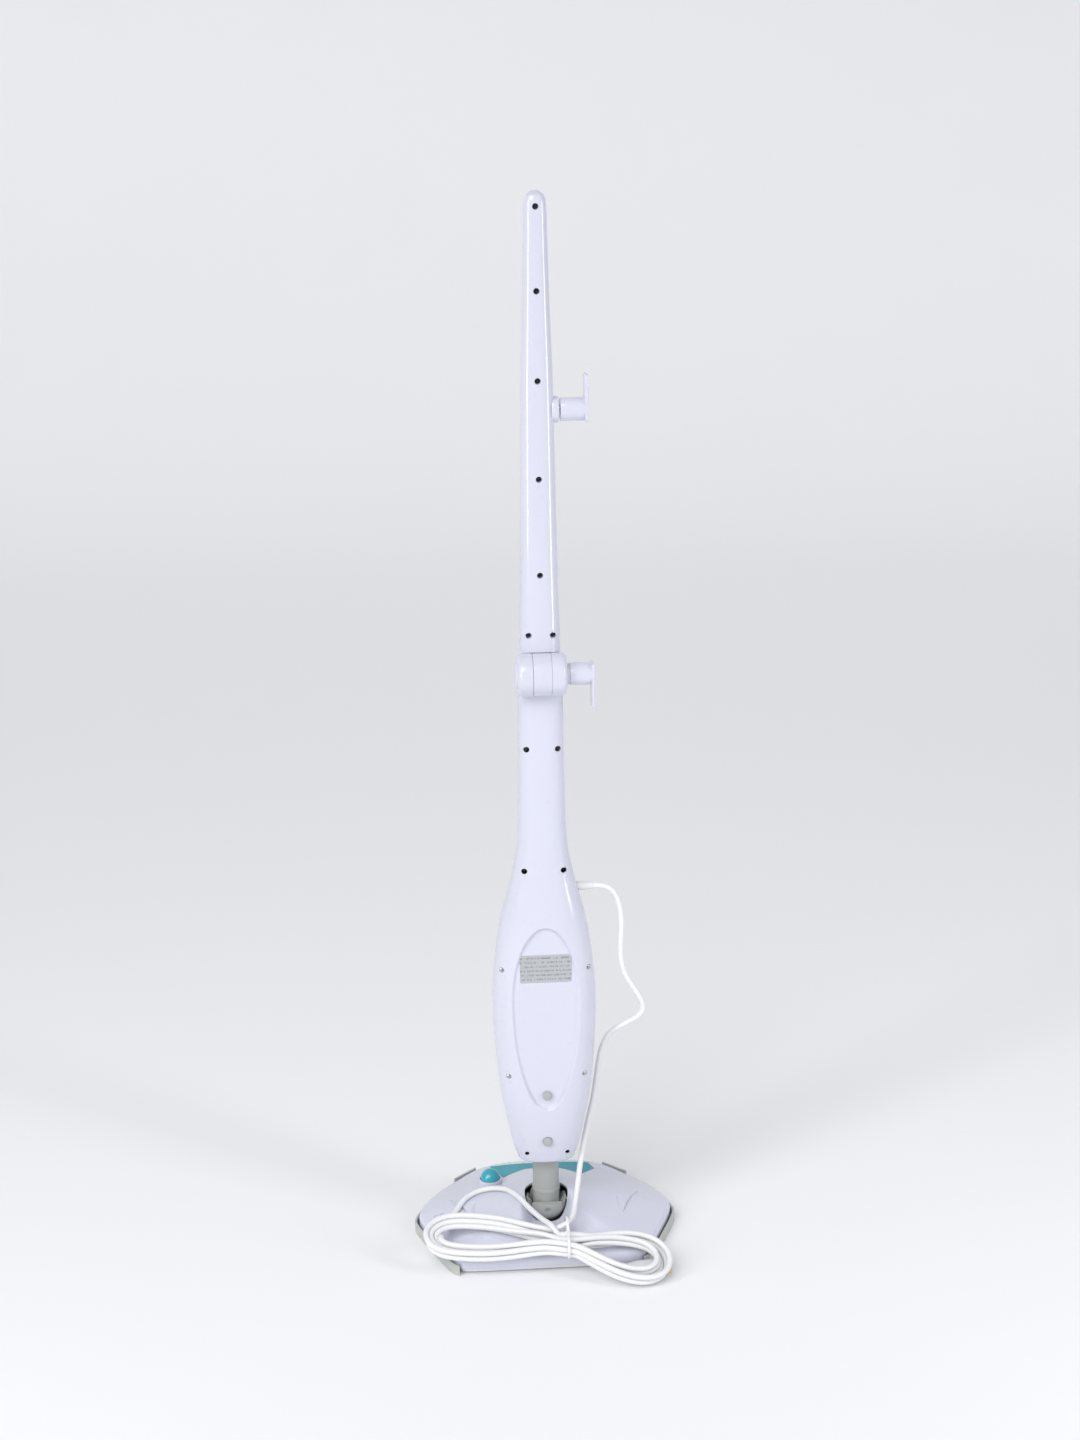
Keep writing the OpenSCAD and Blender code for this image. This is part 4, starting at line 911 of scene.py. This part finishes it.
def handle_shell(side):
    """One half of the handle, with screw wells down the middle of the rear half."""
    shell = closed_half("half", half_grid("handle", side, T_HANDLE, seam=0.45, columns=60))
    t = np.linspace(26 / HANDLE_LEN, 0.94, 40)
    cuts = [closed_half("room", half_grid("handle", side, t, -2.2, 36), past=3, side=side)]
    if side < 0:
        places = [(0, z) for z in MIDDLE_WELLS] + [(s * PAIR[0], PAIR[1]) for s in (-1, 1)]
        for x, z in places:
            seat = back_y("handle", z) * 0.5
            cuts[0] = carve(cuts[0], [rod("boss", (x, -40, z), (0, 1, 0), 4.4, 44, 32)])
            cuts.append(screw_well("well", x, z, skin_y("handle", x, z), seat))
    else:
        cuts.append(slab("button_slot", (-6.4, 4, 1065.6), (6.4, 44, 1095.4)))
    cuts += [rod("barrel_room", (-60, HINGE_BACK, HINGE_Z), (1, 0, 0), BARREL_R + 0.5, 120, 96)]
    cuts.append(rod("axle_hole", (0, 0, AXLE_Z), (1, 0, 0), 5.4, 60, 32))
    return carve(shell, cuts)


handle_back = handle_shell(-1)
handle_back.name = "handle_rear_skin"
handle_nose = handle_shell(1)
handle_nose.name = "handle_front_skin"
for ob, node in ((handle_back, "handle_rear"), (handle_nose, "handle_front")):
    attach(ob, "handle")
    dress(ob, "white_gloss", [node])
print("handle skins:", len(handle_back.data.polygons), len(handle_nose.data.polygons), "faces")

# %% [markdown]
# ## Floor head
#
# The head is a low dome inside a rounded outline. Corner cutting turns the few chosen corners of the
# outline into a curve, and the top falls from the ball to the edge by a power of the share of the way
# out. The same skin, cut along the inlay's outline, gives the white shell and the turquoise inlay.

# %% Head
INLAY = [(19, 96), (47, 69), (66, 100), (60, 126), (-60, 126), (-66, 100), (-47, 69), (-19, 96)]
STRIP = [(60, 126), (47, 137.5), (-47, 137.5), (-60, 126)]
BUTTON = (-64.0, 54.0)
OUTLINE = round_off(corners, 4)
OUTLINE = OUTLINE[np.argsort(np.arctan2(OUTLINE[:, 1] - NECK_Y, OUTLINE[:, 0]))]


def outline(s):
    """The outline drawn in or out about the ball's axis."""
    return np.stack([OUTLINE[:, 0] * s, NECK_Y + (OUTLINE[:, 1] - NECK_Y) * s], 1)


def dome(name, inset, bottom, drop):
    """The dome as a closed solid: a wall up from the bottom, a rounded shoulder, then rings to the ball.

    Past the share 0.98 the top falls to the wall: z = low + (top - low) * (1 - ((s - 0.98) / 0.02)^2)."""
    k = 1 - inset / 150
    rings = [np.column_stack([outline(k * 0.997), np.full(len(OUTLINE), bottom)]),
             np.column_stack([outline(k), np.full(len(OUTLINE), bottom + 0.5)])]
    edge = outline(k)
    rings.append(np.column_stack([edge, 21 + 0.04 * edge[:, 1] - 4 - drop * 0.3]))
    shoulder = [0.998, 0.994, 0.988, 0.98]
    for s in shoulder + list(np.linspace(0.97, 0.06, 60)):
        line = outline(s * k)
        flat = outline(s)
        z = head_top(flat[:, 0], flat[:, 1]) - drop
        if s > 0.98:
            low = 21 + 0.04 * line[:, 1] - 4 - drop * 0.3
            z = low + (z - low) * (1 - ((s - 0.98) / 0.02) ** 2.0)
        rings.append(np.column_stack([line, z]))
    return ring_loft(name, rings, None)


def prism(name, outline_points, grow, z0=22, z1=64):
    """A straight block over an outline, each side drawn out by grow along its normal."""
    p = np.array(outline_points, float)
    d = np.roll(p, -1, 0) - p
    n = np.stack([d[:, 1], -d[:, 0]], 1) / np.linalg.norm(d, axis=1)[:, None]
    if np.sum(p[:, 0] * np.roll(p[:, 1], -1) - p[:, 1] * np.roll(p[:, 0], -1)) < 0:
        n = -n
    q = p + grow * (n + np.roll(n, 1, 0)) / (1 + np.sum(n * np.roll(n, 1, 0), 1))[:, None]
    return ring_loft(name, [np.column_stack([q, np.full(len(q), z)]) for z in (z0, z1)], None)


head_skin = dome("head_skin", 0, 7, 0)
boss = lathe("boss", rounded([(0, 24), (14, 24), (14, 52), (11.9, 52), (11.9, 50), (0, 50)], 0.6),
             (*BUTTON, 0), (0, 0, 1), None, 72)
inside = dome("inside", 2.4, 6, 2.4)
carve(head_skin, [inside])
inlay_ob = dome("inlay", 0, 7, 0)
carve(inlay_ob, [dome("inlay_room", 2.4, 6, 2.4)])
strip_ob = inlay_ob.copy()
strip_ob.data = inlay_ob.data.copy()
bpy.context.scene.collection.objects.link(strip_ob)
carve(inlay_ob, [prism("inlay_block", INLAY, -0.15)], "INTERSECT")
carve(strip_ob, [prism("strip_block", STRIP, -0.15)], "INTERSECT")
carve(head_skin, [boss], "UNION")
cuts = [rod("ball_room", (0, NECK_Y, 0), (0, 0, 1), 25.4, 100, 128),
        rod("button_room", (*BUTTON, 45), (0, 0, 1), 11.9, 30, 72),
        rod("stem_room", (*BUTTON, 0), (0, 0, 1), 5.4, 60, 32), prism("inlay_hole", INLAY, 0.2),
        prism("strip_hole", STRIP, 0.2)]
# The two V-shaped impressions beside the neck, each groove following the top, and two slots at the left
for s in (-1, 1):
    for k in (0, 1):
        a, b = np.array([s * 90, -14]), np.array([s * (112 if k else 84), 38 if k else 14])
        d = (b - a) / np.linalg.norm(b - a)
        n = np.array([-d[1], d[0]]) * (3.4 if k else 2.2)
        rows = []
        for t in np.linspace(0, 1, 12):
            c = a + (b - a) * t
            w = n * (0.35 + 0.65 * math.sin(math.pi * min(max(t, 0.04), 0.96)))
            low = min(float(head_top(*(c - w))), float(head_top(*c)), float(head_top(*(c + w)))) - 0.35
            deep = float(head_top(*c)) - 0.95
            rows.append([(*(c - w), low), (*c, deep), (*(c + w), low), (*(c + w), 70), (*(c - w), 70)])
        cuts.append(ring_loft("groove", rows, None))
for x in (-131, -124):
    z = float(head_top(x, 14))
    cuts.append(slab("slot", (x - 2.2, 13.2, z - 2.0), (x + 2.2, 15.0, z + 5)))
carve(head_skin, cuts)
head_skin.name, inlay_ob.name, strip_ob.name = "head_shell_skin", "head_inlay_skin", "head_strip_skin"
for ob, slot, node in ((head_skin, "white_gloss", "head_shell"), (inlay_ob, "teal", "head_inlay"),
                       (strip_ob, "pale_mint", "inlay_strip")):
    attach(ob, "head")
    dress(ob, slot, [node])
inlay_ob.data.materials[0] = MATERIALS["teal_satin"]
print("head skin:", len(head_skin.data.polygons), "faces; inlay:", len(inlay_ob.data.polygons))

# %% [markdown]
# ## Glider and foot button
#
# Under the head sits a frame that lets the mop slide on carpet: a low wall round the outline, a flat
# runner under it and two small tabs at its front corners. It is open at the rear, where the cloth goes
# in. The round foot button is turned, with a domed top.

# %% Glider and foot button
def ring_wall(name, outer, inner, z0, z1, soft=0.8):
    """A wall between two outlines with softened top and bottom edges."""
    o, i = outline(outer), outline(inner)
    e = soft / 150
    rings = [(o, 1 - e, z0), (o, 1 - e * 0.3, z0 + soft * 0.3), (o, 1, z0 + soft), (o, 1, z1 - soft),
             (o, 1 - e * 0.3, z1 - soft * 0.3), (o, 1 - e, z1), (i, 1 + e, z1), (i, 1, z1 - soft),
             (i, 1, z0 + soft), (i, 1 + e, z0)]
    grid = [np.column_stack([p[:, 0] * k, NECK_Y + (p[:, 1] - NECK_Y) * k, np.full(len(p), z)])
            for p, k, z in rings]
    grid.append(grid[0])
    ob = weld(grid_piece(name, np.array(grid)))
    finish_mesh(ob, 38)
    return ob


glider = ring_wall("glider_wall", 1.036, 1.018, 0, 13)
runner = ring_wall("glider_runner", 1.03, 0.84, 0.0, 3, 0.5)
for ob in (glider, runner):
    carve(ob, [slab("rear_gap", (-106, -96, -1), (106, -36, 40))])
for s in (-1, 1):
    a, b = np.array([s * 76.0, 127.0]), np.array([s * 103.0, 101.0])
    along = b - a
    n = np.array([along[1], -along[0]]) / np.linalg.norm(along) * s * -1
    base = a + n * 3.4
    ring = [base, base + along, base + along + n * 2.2, base + n * 2.2]
    tab = ring_loft("glider_tab_%s" % ("left" if s < 0 else "right"),
                    [[(q[0], q[1], z) for q in ring] for z in (9, 26)], None)
    dress(tab, "glider_grey", bevel=0.8)
    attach(tab, "head")
for ob in (glider, runner):
    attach(ob, "head")
    dress(ob, "glider_grey", ["carpet_glider"] if ob is glider else [])
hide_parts("carpet_glider")
button = lathe("foot_button_cap", rounded([(0, 34), (5, 34), (5, 49.5), (11.4, 49.5)], 0.6)
               + [(11.5 * math.cos(a), 52 + 11.5 * math.sin(a)) for a in np.linspace(0, math.pi / 2, 16)],
               (*BUTTON, 0), (0, 0, 1), "pedal", 72)
dress(button, "teal", ["foot_button"])
print("glider wall:", len(glider.data.polygons), "faces; button:", len(button.data.polygons))

# %% [markdown]
# ## Neck and ball
#
# The neck is a turned tube that ends in a cut ball. The ball's top is cut flat, with a slot in which
# the neck's foot leans from side to side. These pieces are turned profiles with softened edges.

# %% Neck
neck = lathe("neck_skin", rounded([(8, 45), (15.3, 45), (15.3, 112), (8, 112)], 0.5) + [(8, 45)],
             (0, NECK_Y, 0), (0, 0, 1), "casing", 80)
dress(neck, "grey_plastic", ["neck_tube"])
band = lathe("neck_band_skin", rounded([(15.35, 60.8), (16.3, 60.8), (16.3, 65.8), (15.35, 65.8)], 0.7)
             + [(15.35, 60.8)], (0, NECK_Y, 0), (0, 0, 1), "casing", 80)
dress(band, "grey_plastic", ["neck_band"])
collar_line = [(15.4, 105), (17.2, 105), (17.9, 107), (17.9, 110.5), (15.4, 110.5)]
collar = lathe("neck_collar_skin", rounded(collar_line, 0.9) + [(15.4, 105)],
               (0, NECK_Y, 0), (0, 0, 1), "casing", 80)
dress(collar, "white_gloss", ["neck_collar"])
# The foot: a round drum across the neck, kept within the neck's own cylinder
foot = carve(rod("neck_foot", (0, -12, BALL[2]), (0, 1, 0), 15.5, 40, 64),
             [rod("foot_form", (0, NECK_Y, 15), (0, 0, 1), 15.5, 32, 64)], "INTERSECT")
carve(foot, [rod("foot_bore", (0, NECK_Y, 10), (0, 0, 1), 8, 60),
             rod("pin_bore", (0, -20, BALL[2]), (0, 1, 0), 3.2, 60)])
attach(foot, "casing")
dress(foot, "grey_plastic")
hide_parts("neck_tube")
print("neck:", len(neck.data.polygons), "faces; foot:", len(foot.data.polygons))

# %% [markdown]
# ## Hinge, fold button and hooks
#
# The hinge is a drum across the stick: a knuckle of the lower casing between two ears of the upper
# handle. Only fine gaps show between them, and the drum's outer ends are generously rounded. The two
# hooks that the cord winds on are short round arms with a flat plate at the end.

# %% Hinge and hooks
HINGE_AT = (0, HINGE_BACK, HINGE_Z)
HOOK_R, HOOK_REACH = 12.4, 37


def drum(name, x0, x1, soft0, soft1, bore, body, slot, node):
    """A ring round the hinge's axis, each outer edge rounded by its own radius."""
    quarter = np.linspace(0, math.pi / 2, 9)
    rise = [(BARREL_R - soft0 * (1 - math.sin(a)), x0 + soft0 * (1 - math.cos(a))) for a in quarter]
    fall = [(BARREL_R - soft1 * (1 - math.cos(a)), x1 - soft1 * (1 - math.sin(a))) for a in quarter]
    ob = lathe(name, [(bore, x0), *rise, *fall, (bore, x1), (bore, x0)], HINGE_AT, (1, 0, 0), body, 96, 50)
    dress(ob, slot, [node])


drum("hinge_knuckle_drum", -10, 10.1, 0.35, 0.35, 5.05, "casing", "white_gloss", "hinge_knuckle")
drum("hinge_ear_left", -27, -10.35, 6.0, 0.35, 5.05, "handle", "white_gloss", "hinge_clevis")
drum("hinge_ear_right", 10.3, 27, 0.25, 6.0, 5.05, "handle", "white_gloss", "hinge_clevis")
blocks = [slab("knuckle_root", (-8, -10, HINGE_Z - 40), (8, 10, HINGE_Z - 20)),
          slab("ear_root_left", (-17.5, -14, HINGE_Z), (-10.5, 12, HINGE_Z + 30)),
          slab("ear_root_right", (10.5, -14, HINGE_Z), (17.5, 12, HINGE_Z + 30)),
          slab("ear_bridge", (-17.5, -10, HANDLE_Z0 + 25), (17.5, 12, HANDLE_Z0 + 37))]
for ob, body in zip(blocks, ("casing", "handle", "handle", "handle")):
    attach(ob, body)
    dress(ob, "white_matte", bevel=0.6)
push = [(0, -24.5)] + [(14.6, -24.5), (14.6, -26.8)] + [
    (14.6 * math.cos(a), -26.8 - 3.6 * math.sin(a)) for a in np.linspace(0.1, math.pi / 2, 12)]
fold = lathe("fold_button_cap", push, HINGE_AT, (1, 0, 0), "latch", 72, 50)
dress(fold, "white_gloss", ["fold_button"])


def hook(name, centre, length, plate_t, up, body, node):
    """A round arm along X with a rounded plate at its end; up is 1 for a plate that reaches up."""
    x, y, z = centre
    reach = length - 0.4
    arm = lathe(name + "_arm", rounded([(0, 0), (HOOK_R, 0), (HOOK_R, reach), (0, reach)], 0.8), centre,
                (1, 0, 0), body, 72, 50)
    dress(arm, "white_gloss", [node])
    low, top = (-HOOK_R, HOOK_REACH) if up > 0 else (-HOOK_REACH, HOOK_R)
    ring = []
    r = 2.6
    for cx, cz, a0 in ((HOOK_R, top, 0), (-HOOK_R, top, 90), (-HOOK_R, low, 180), (HOOK_R, low, 270)):
        for a in np.radians(np.linspace(a0, a0 + 90, 7)):
            ring.append((y + cx - math.copysign(r, cx) + r * math.cos(a),
                         z + cz - (r if cz == top else -r) + r * math.sin(a)))
    ring = np.array(ring)
    mid = ring.mean(0)
    rows = []
    edge = ((0, 0.7), (0.25, 0.2), (0.8, 0), (plate_t - 0.8, 0), (plate_t - 0.25, 0.2), (plate_t, 0.7))
    for dx, inset in edge:
        q = mid + (ring - mid) * (1 - inset / np.abs(ring - mid).max(0))
        rows.append(np.column_stack([np.full(len(q), x + length - plate_t + dx), q]))
    plate = ring_loft(name + "_plate", rows, body, sharp=50)
    dress(plate, "white_gloss")
    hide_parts(node)


hook("hook_lower", (BARREL_HW + 3.4, HINGE_BACK, HINGE_Z), 26.5, 3.0, -1, "casing", "lower_hook")
HOOK_X = float(at(HANDLE, (AXLE_Z - HANDLE_Z0) / HANDLE_LEN, 1) * HANDLE_HW)
hook("hook_upper", (HOOK_X + 6.4, 0, AXLE_Z), 29.6, 3.6, 1, "hook", "upper_hook")
disc = lathe("hook_disc_skin", rounded([(5.05, -3), (14, -3), (14, 5), (5.05, 5)], 1.4) + [(5.05, -3)],
             (HOOK_X, 0, AXLE_Z), (1, 0, 0), "handle", 72, 50)
dress(disc, "white_gloss", ["hook_disc"])
spacer = lathe("hook_spacer", [(5.4, 0), (11.2, 0), (11.2, 3.3), (5.4, 3.3), (5.4, 0)],
               (BARREL_HW + 0.05, HINGE_BACK, HINGE_Z), (1, 0, 0), "casing", 64)
dress(spacer, "white_matte")
print("drum radius", BARREL_R, "mm; hooks reach", HOOK_REACH, "mm from their axes")

# %% [markdown]
# ## Screws and feet
#
# A pan-head screw is a shallow dome with a cross cut into it. The bumper feet are soft discs with a
# rounded rim.

# %% Screws and feet
def pan_head(name, x, y, z, radius, height, body, slot, node):
    """A dome h * (1 - (r / R)^2.4) with a cross of depth 0.5 h, facing the rear."""
    r = np.linspace(0, radius, 9)
    profile = [(0, -0.6), (radius, -0.6)] + [(q, height * (1 - (q / radius) ** 2.4)) for q in r[::-1]]
    ob = lathe(name, profile, (x, y, z), (0, -1, 0), None, 32, 45)
    arms = [slab("cross", (x - a, y - height - 1, z - b), (x + a, y - height * 0.45, z + b))
            for a, b in ((radius * 0.62, radius * 0.13), (radius * 0.13, radius * 0.62))]
    carve(ob, arms, sharp=45)
    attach(ob, body)
    dress(ob, slot)
    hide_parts(node)


count = 0
for x, z in BRIGHT_SCREWS:
    for s in (-1, 1):
        y = 0.8 - skin_y("casing", x, z)
        pan_head("bright_screw_%d" % count, s * x, y, z, 2.8, 1.5, "casing", "screw_steel", "bright_screws")
        count += 1
for x, z in DARK_WELLS:
    for s in (-1, 1):
        pan_head("dark_screw_%d" % count, s * x, -back_y("casing", z) * 0.6, z, 2.9, 1.4, "casing",
                 "dark_plastic", "cover_screws")
        count += 1
for s in (-1, 1):
    pan_head("low_screw_%d" % count, s * LOW_WELLS[0], -9.4, LOW_WELLS[1], 2.5, 1.2, "casing", "dark_plastic",
             "cover_screws")
    count += 1
for x, z in [(0, z) for z in MIDDLE_WELLS] + [(s * PAIR[0], PAIR[1]) for s in (-1, 1)]:
    pan_head("handle_screw_%d" % count, x, -back_y("handle", z) * 0.5, z, 2.9, 1.3, "handle", "dark_plastic",
             "handle_screws")
    count += 1
for z, seat in zip(FEET, (-RECESS_FLOOR, 0.8 - back_y("casing", FEET[1]))):
    pad = lathe("bumper_foot_%d" % z, rounded([(0, -1), (5.2, -1), (5.4, 2.6), (4.9, 4.2), (0, 4.4)], 0.9),
                (0, seat, z), (0, -1, 0), "casing", 56, 50)
    dress(pad, "foot_rubber", ["bumper_feet"])
print(count, "screws and", len(FEET), "feet")

# %% [markdown]
# ## Label
#
# The label is a thin foil sticker with rounded corners. Its print is only rows of fine grey marks: a
# wave gives the rows, a stretched noise breaks them into marks, and their product mixes the ink into
# the foil's own colour. There are no letters among them.

# %% Label
def rounded_plate(name, x0, x1, z0, z1, y, thick, r, body):
    """A thin plate facing the rear with rounded corners."""
    ring = []
    for cx, cz, a0 in ((x1, z1, 0), (x0, z1, 90), (x0, z0, 180), (x1, z0, 270)):
        sx, sz = (1 if cx == x1 else -1), (1 if cz == z1 else -1)
        for a in np.radians(np.linspace(a0, a0 + 90, 7)):
            ring.append((cx - sx * r + r * math.cos(a), cz - sz * r + r * math.sin(a)))
    rows = [[(px, yy, pz) for px, pz in ring] for yy in (y, y - thick)]
    return ring_loft(name, rows, body)


foil_print = MATERIALS["foil"].copy()
foil_print.name = "foil_print"
tree = foil_print.node_tree
coord = add(tree, "TexCoord")
line = add(tree, "TexWave", wave_type="BANDS", bands_direction="Z", in_Scale=62.0, in_Distortion=0.0)
stretch = add(tree, "Mapping", in_Scale=(520, 1, 230))
words = add(tree, "TexNoise", in_Scale=1.0, in_Detail=1.0)
tree.links.new(coord.outputs["Object"], line.inputs["Vector"])
tree.links.new(coord.outputs["Object"], stretch.inputs["Vector"])
tree.links.new(stretch.outputs["Vector"], words.inputs["Vector"])
stripe = add(tree, "MapRange", in_From_Min=0.55, in_From_Max=0.75)
letter = add(tree, "MapRange", in_From_Min=0.46, in_From_Max=0.52)
tree.links.new(line.outputs["Fac"], stripe.inputs["Value"])
tree.links.new(words.outputs["Fac"], letter.inputs["Value"])
both = add(tree, "Math", operation="MULTIPLY")
tree.links.new(stripe.outputs["Result"], both.inputs[0])
tree.links.new(letter.outputs["Result"], both.inputs[1])
soft = add(tree, "Math", operation="MULTIPLY")
soft.inputs[1].default_value = 0.45
tree.links.new(both.outputs["Value"], soft.inputs[0])
ink = add(tree, "Mix", data_type="RGBA")
ink.inputs[7].default_value = (0.09, 0.095, 0.10, 1)
base = tree.nodes["Principled BSDF"].inputs["Base Color"]
tree.links.new(base.links[0].from_socket, ink.inputs[6])
tree.links.new(soft.outputs["Value"], ink.inputs[0])
tree.links.new(ink.outputs[2], base)
label = rounded_plate("label_foil", -29, 29, 338, 371, -RECESS_FLOOR + 0.05, 0.35, 1.6, "casing")
dress(label, "foil", ["rating_sticker"])
label.data.materials[0] = foil_print
print("label:", len(label.data.polygons), "faces")

# %% [markdown]
# ## Front side
#
# The tank follows the casing's own section, so its skin is the same half grid, cut to the bay. Cap,
# dial, lens and steam button are small turned or boxed pieces with softened edges.

# %% Tank and controls
CAP_Y, CAP_SEAT_Z = 39, 374
t_tank = (np.linspace(190.4, 403.6, 90) - CASING_Z0) / CASING_LEN
t_hollow = (np.linspace(192.4, 362, 60) - CASING_Z0) / CASING_LEN
tank = closed_half("tank_skin", half_grid("casing", 1, t_tank))
hollow = carve(closed_half("tank_hollow", half_grid("casing", 1, t_hollow, -2)),
               [slab("behind", (-100, -5, 100), (100, 26.4, 500))])
carve(tank, [slab("behind", (-100, -5, 100), (100, 24.4, 500)), hollow,
             rod("cap_seat", (0, CAP_Y, CAP_SEAT_Z), (0, 0, 1), 12.4, 60, 64),
             rod("cap_neck", (0, CAP_Y, 358), (0, 0, 1), 9, 40, 48)])
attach(tank, "tank")
dress(tank, "clear_tank", ["tank_shell"])
cap_line = [(0, 366), (8.9, 366), (8.9, 374.3), (12, 374.3), (12, 382.3), (0, 382.3)]
cap = lathe("tank_cap_skin", rounded(cap_line, 0.8), (0, CAP_Y, 0), (0, 0, 1), "cap", 64, 50)
dress(cap, "teal", ["tank_cap"])
grip = rounded_box((21, 4, 7), 1.4) + [0, CAP_Y, 385.6]
grip = ring_loft("tank_cap_grip", grip, "cap")
dress(grip, "teal")
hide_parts("tank_cap")


def nose_y(kind, z):
    """The front surface's depth on the middle line at a height."""
    if kind == "casing":
        return float(at(CASING, (z - CASING_Z0) / CASING_LEN, 3) * CASING_FRONT)
    return float(at(HANDLE, (z - HANDLE_Z0) / HANDLE_LEN, 3) * HANDLE_HW)


dial_y = nose_y("casing", DIAL_Z)
a = np.linspace(0, 2 * np.pi, 144, endpoint=False)
flute = 1 - 0.055 * np.clip(np.cos(12 * a), 0, 1) ** 2
rows = []
for h, r in ((4.5, 11.4), (5.0, 12.0), (12.6, 12.0), (13.6, 11.3), (14.0, 10.0)):
    rows.append(np.stack([r * flute * np.cos(a), np.full(144, dial_y + h),
                          DIAL_Z + r * flute * np.sin(a)], 1))
dial = ring_loft("steam_dial_skin", rows, "dial", sharp=45)
dress(dial, "teal", ["steam_dial"])
mark = slab("dial_mark", (-0.6, dial_y + 13.7, 433), (0.6, dial_y + 14.15, 440.5))
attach(mark, "dial")
dress(mark, "pale_mint")
lens_y = nose_y("casing", LENS_Z)
lens = lathe("status_lens_skin", [(0, 18), (3.5, 18), (3.5, lens_y - 0.4)] + [
    (3.5 * math.cos(q), lens_y - 0.4 + 1.2 * math.sin(q)) for q in np.linspace(0.1, math.pi / 2, 8)],
    (0, 0, LENS_Z), (0, 1, 0), "casing", 48, 50)
dress(lens, "lens_red", ["status_lens"])
steam_y = nose_y("handle", 1081)
press = ring_loft("steam_button_skin", rounded_box((12, 11, 29), 1.8) + [0, steam_y + 0.5, 1080.5], "trigger")
dress(press, "teal", ["steam_button"])

# %% [markdown]
# ## Floor and light
#
# A plain pale floor that curves up far behind the mop, two tall soft boxes that draw long highlights
# down the glossy sides, a wide soft sun as from a window, and a bright even room.

# %% Floor and light
bend = np.linspace(0, math.pi / 2, 24)
run = [(-5.0, 0.0)] + [(4.0 + 3.0 * math.sin(b), 3.0 - 3.0 * math.cos(b)) for b in bend] + [(7.0, 9.0)]
cols = np.linspace(-9, 9, 13)
floor = bpy.data.objects.new("floor", bpy.data.meshes.new("floor"))
floor_points = [(x, y, z) for y, z in run for x in cols]
floor.data.from_pydata(floor_points, [], grid_faces(len(run), len(cols)).tolist())
floor.data.shade_smooth()
bpy.context.scene.collection.objects.link(floor)
floor.data.materials.append(finish("floor_paint", (0.90, 0.905, 0.915), 0.55, 0.006, 3, 300, 0.01))


def soft_light(name, energy, size, at_point, aim, colour=(1, 1, 1)):
    """A rectangular area light of (width, height) in metres, aimed at a point."""
    data = bpy.data.lights.new(name, "AREA")
    data.shape = "RECTANGLE"
    data.energy, data.size, data.size_y, data.color = energy, size[0], size[1], colour
    ob = bpy.data.objects.new(name, data)
    ob.location = at_point
    ob.rotation_euler = (Vector(aim) - Vector(at_point)).to_track_quat("-Z", "Y").to_euler()
    bpy.context.scene.collection.objects.link(ob)


soft_light("left_box", 15, (0.35, 1.5), (-1.5, -1.2, 1.2), (0, 0, 0.6))
soft_light("right_box", 12, (0.3, 1.4), (1.5, -1.1, 1.0), (0, 0, 0.6), (0.97, 0.98, 1))
sun_data = bpy.data.lights.new("window_light", "SUN")
sun_data.energy, sun_data.angle, sun_data.color = 1.32, math.radians(35), (1.0, 0.995, 0.985)
sun = bpy.data.objects.new("window_light", sun_data)
sun.rotation_euler = Vector((0.45, 0.95, -1.0)).to_track_quat("-Z", "Y").to_euler()
bpy.context.scene.collection.objects.link(sun)
world = bpy.data.worlds.new("soft_room")
bpy.context.scene.world = world
world.use_nodes = True
world.node_tree.nodes["Background"].inputs["Color"].default_value = (0.93, 0.95, 1.0, 1)
world.node_tree.nodes["Background"].inputs["Strength"].default_value = 0.43
bpy.context.scene.view_settings.view_transform = "Standard"
print("lights:", len(bpy.data.lights))
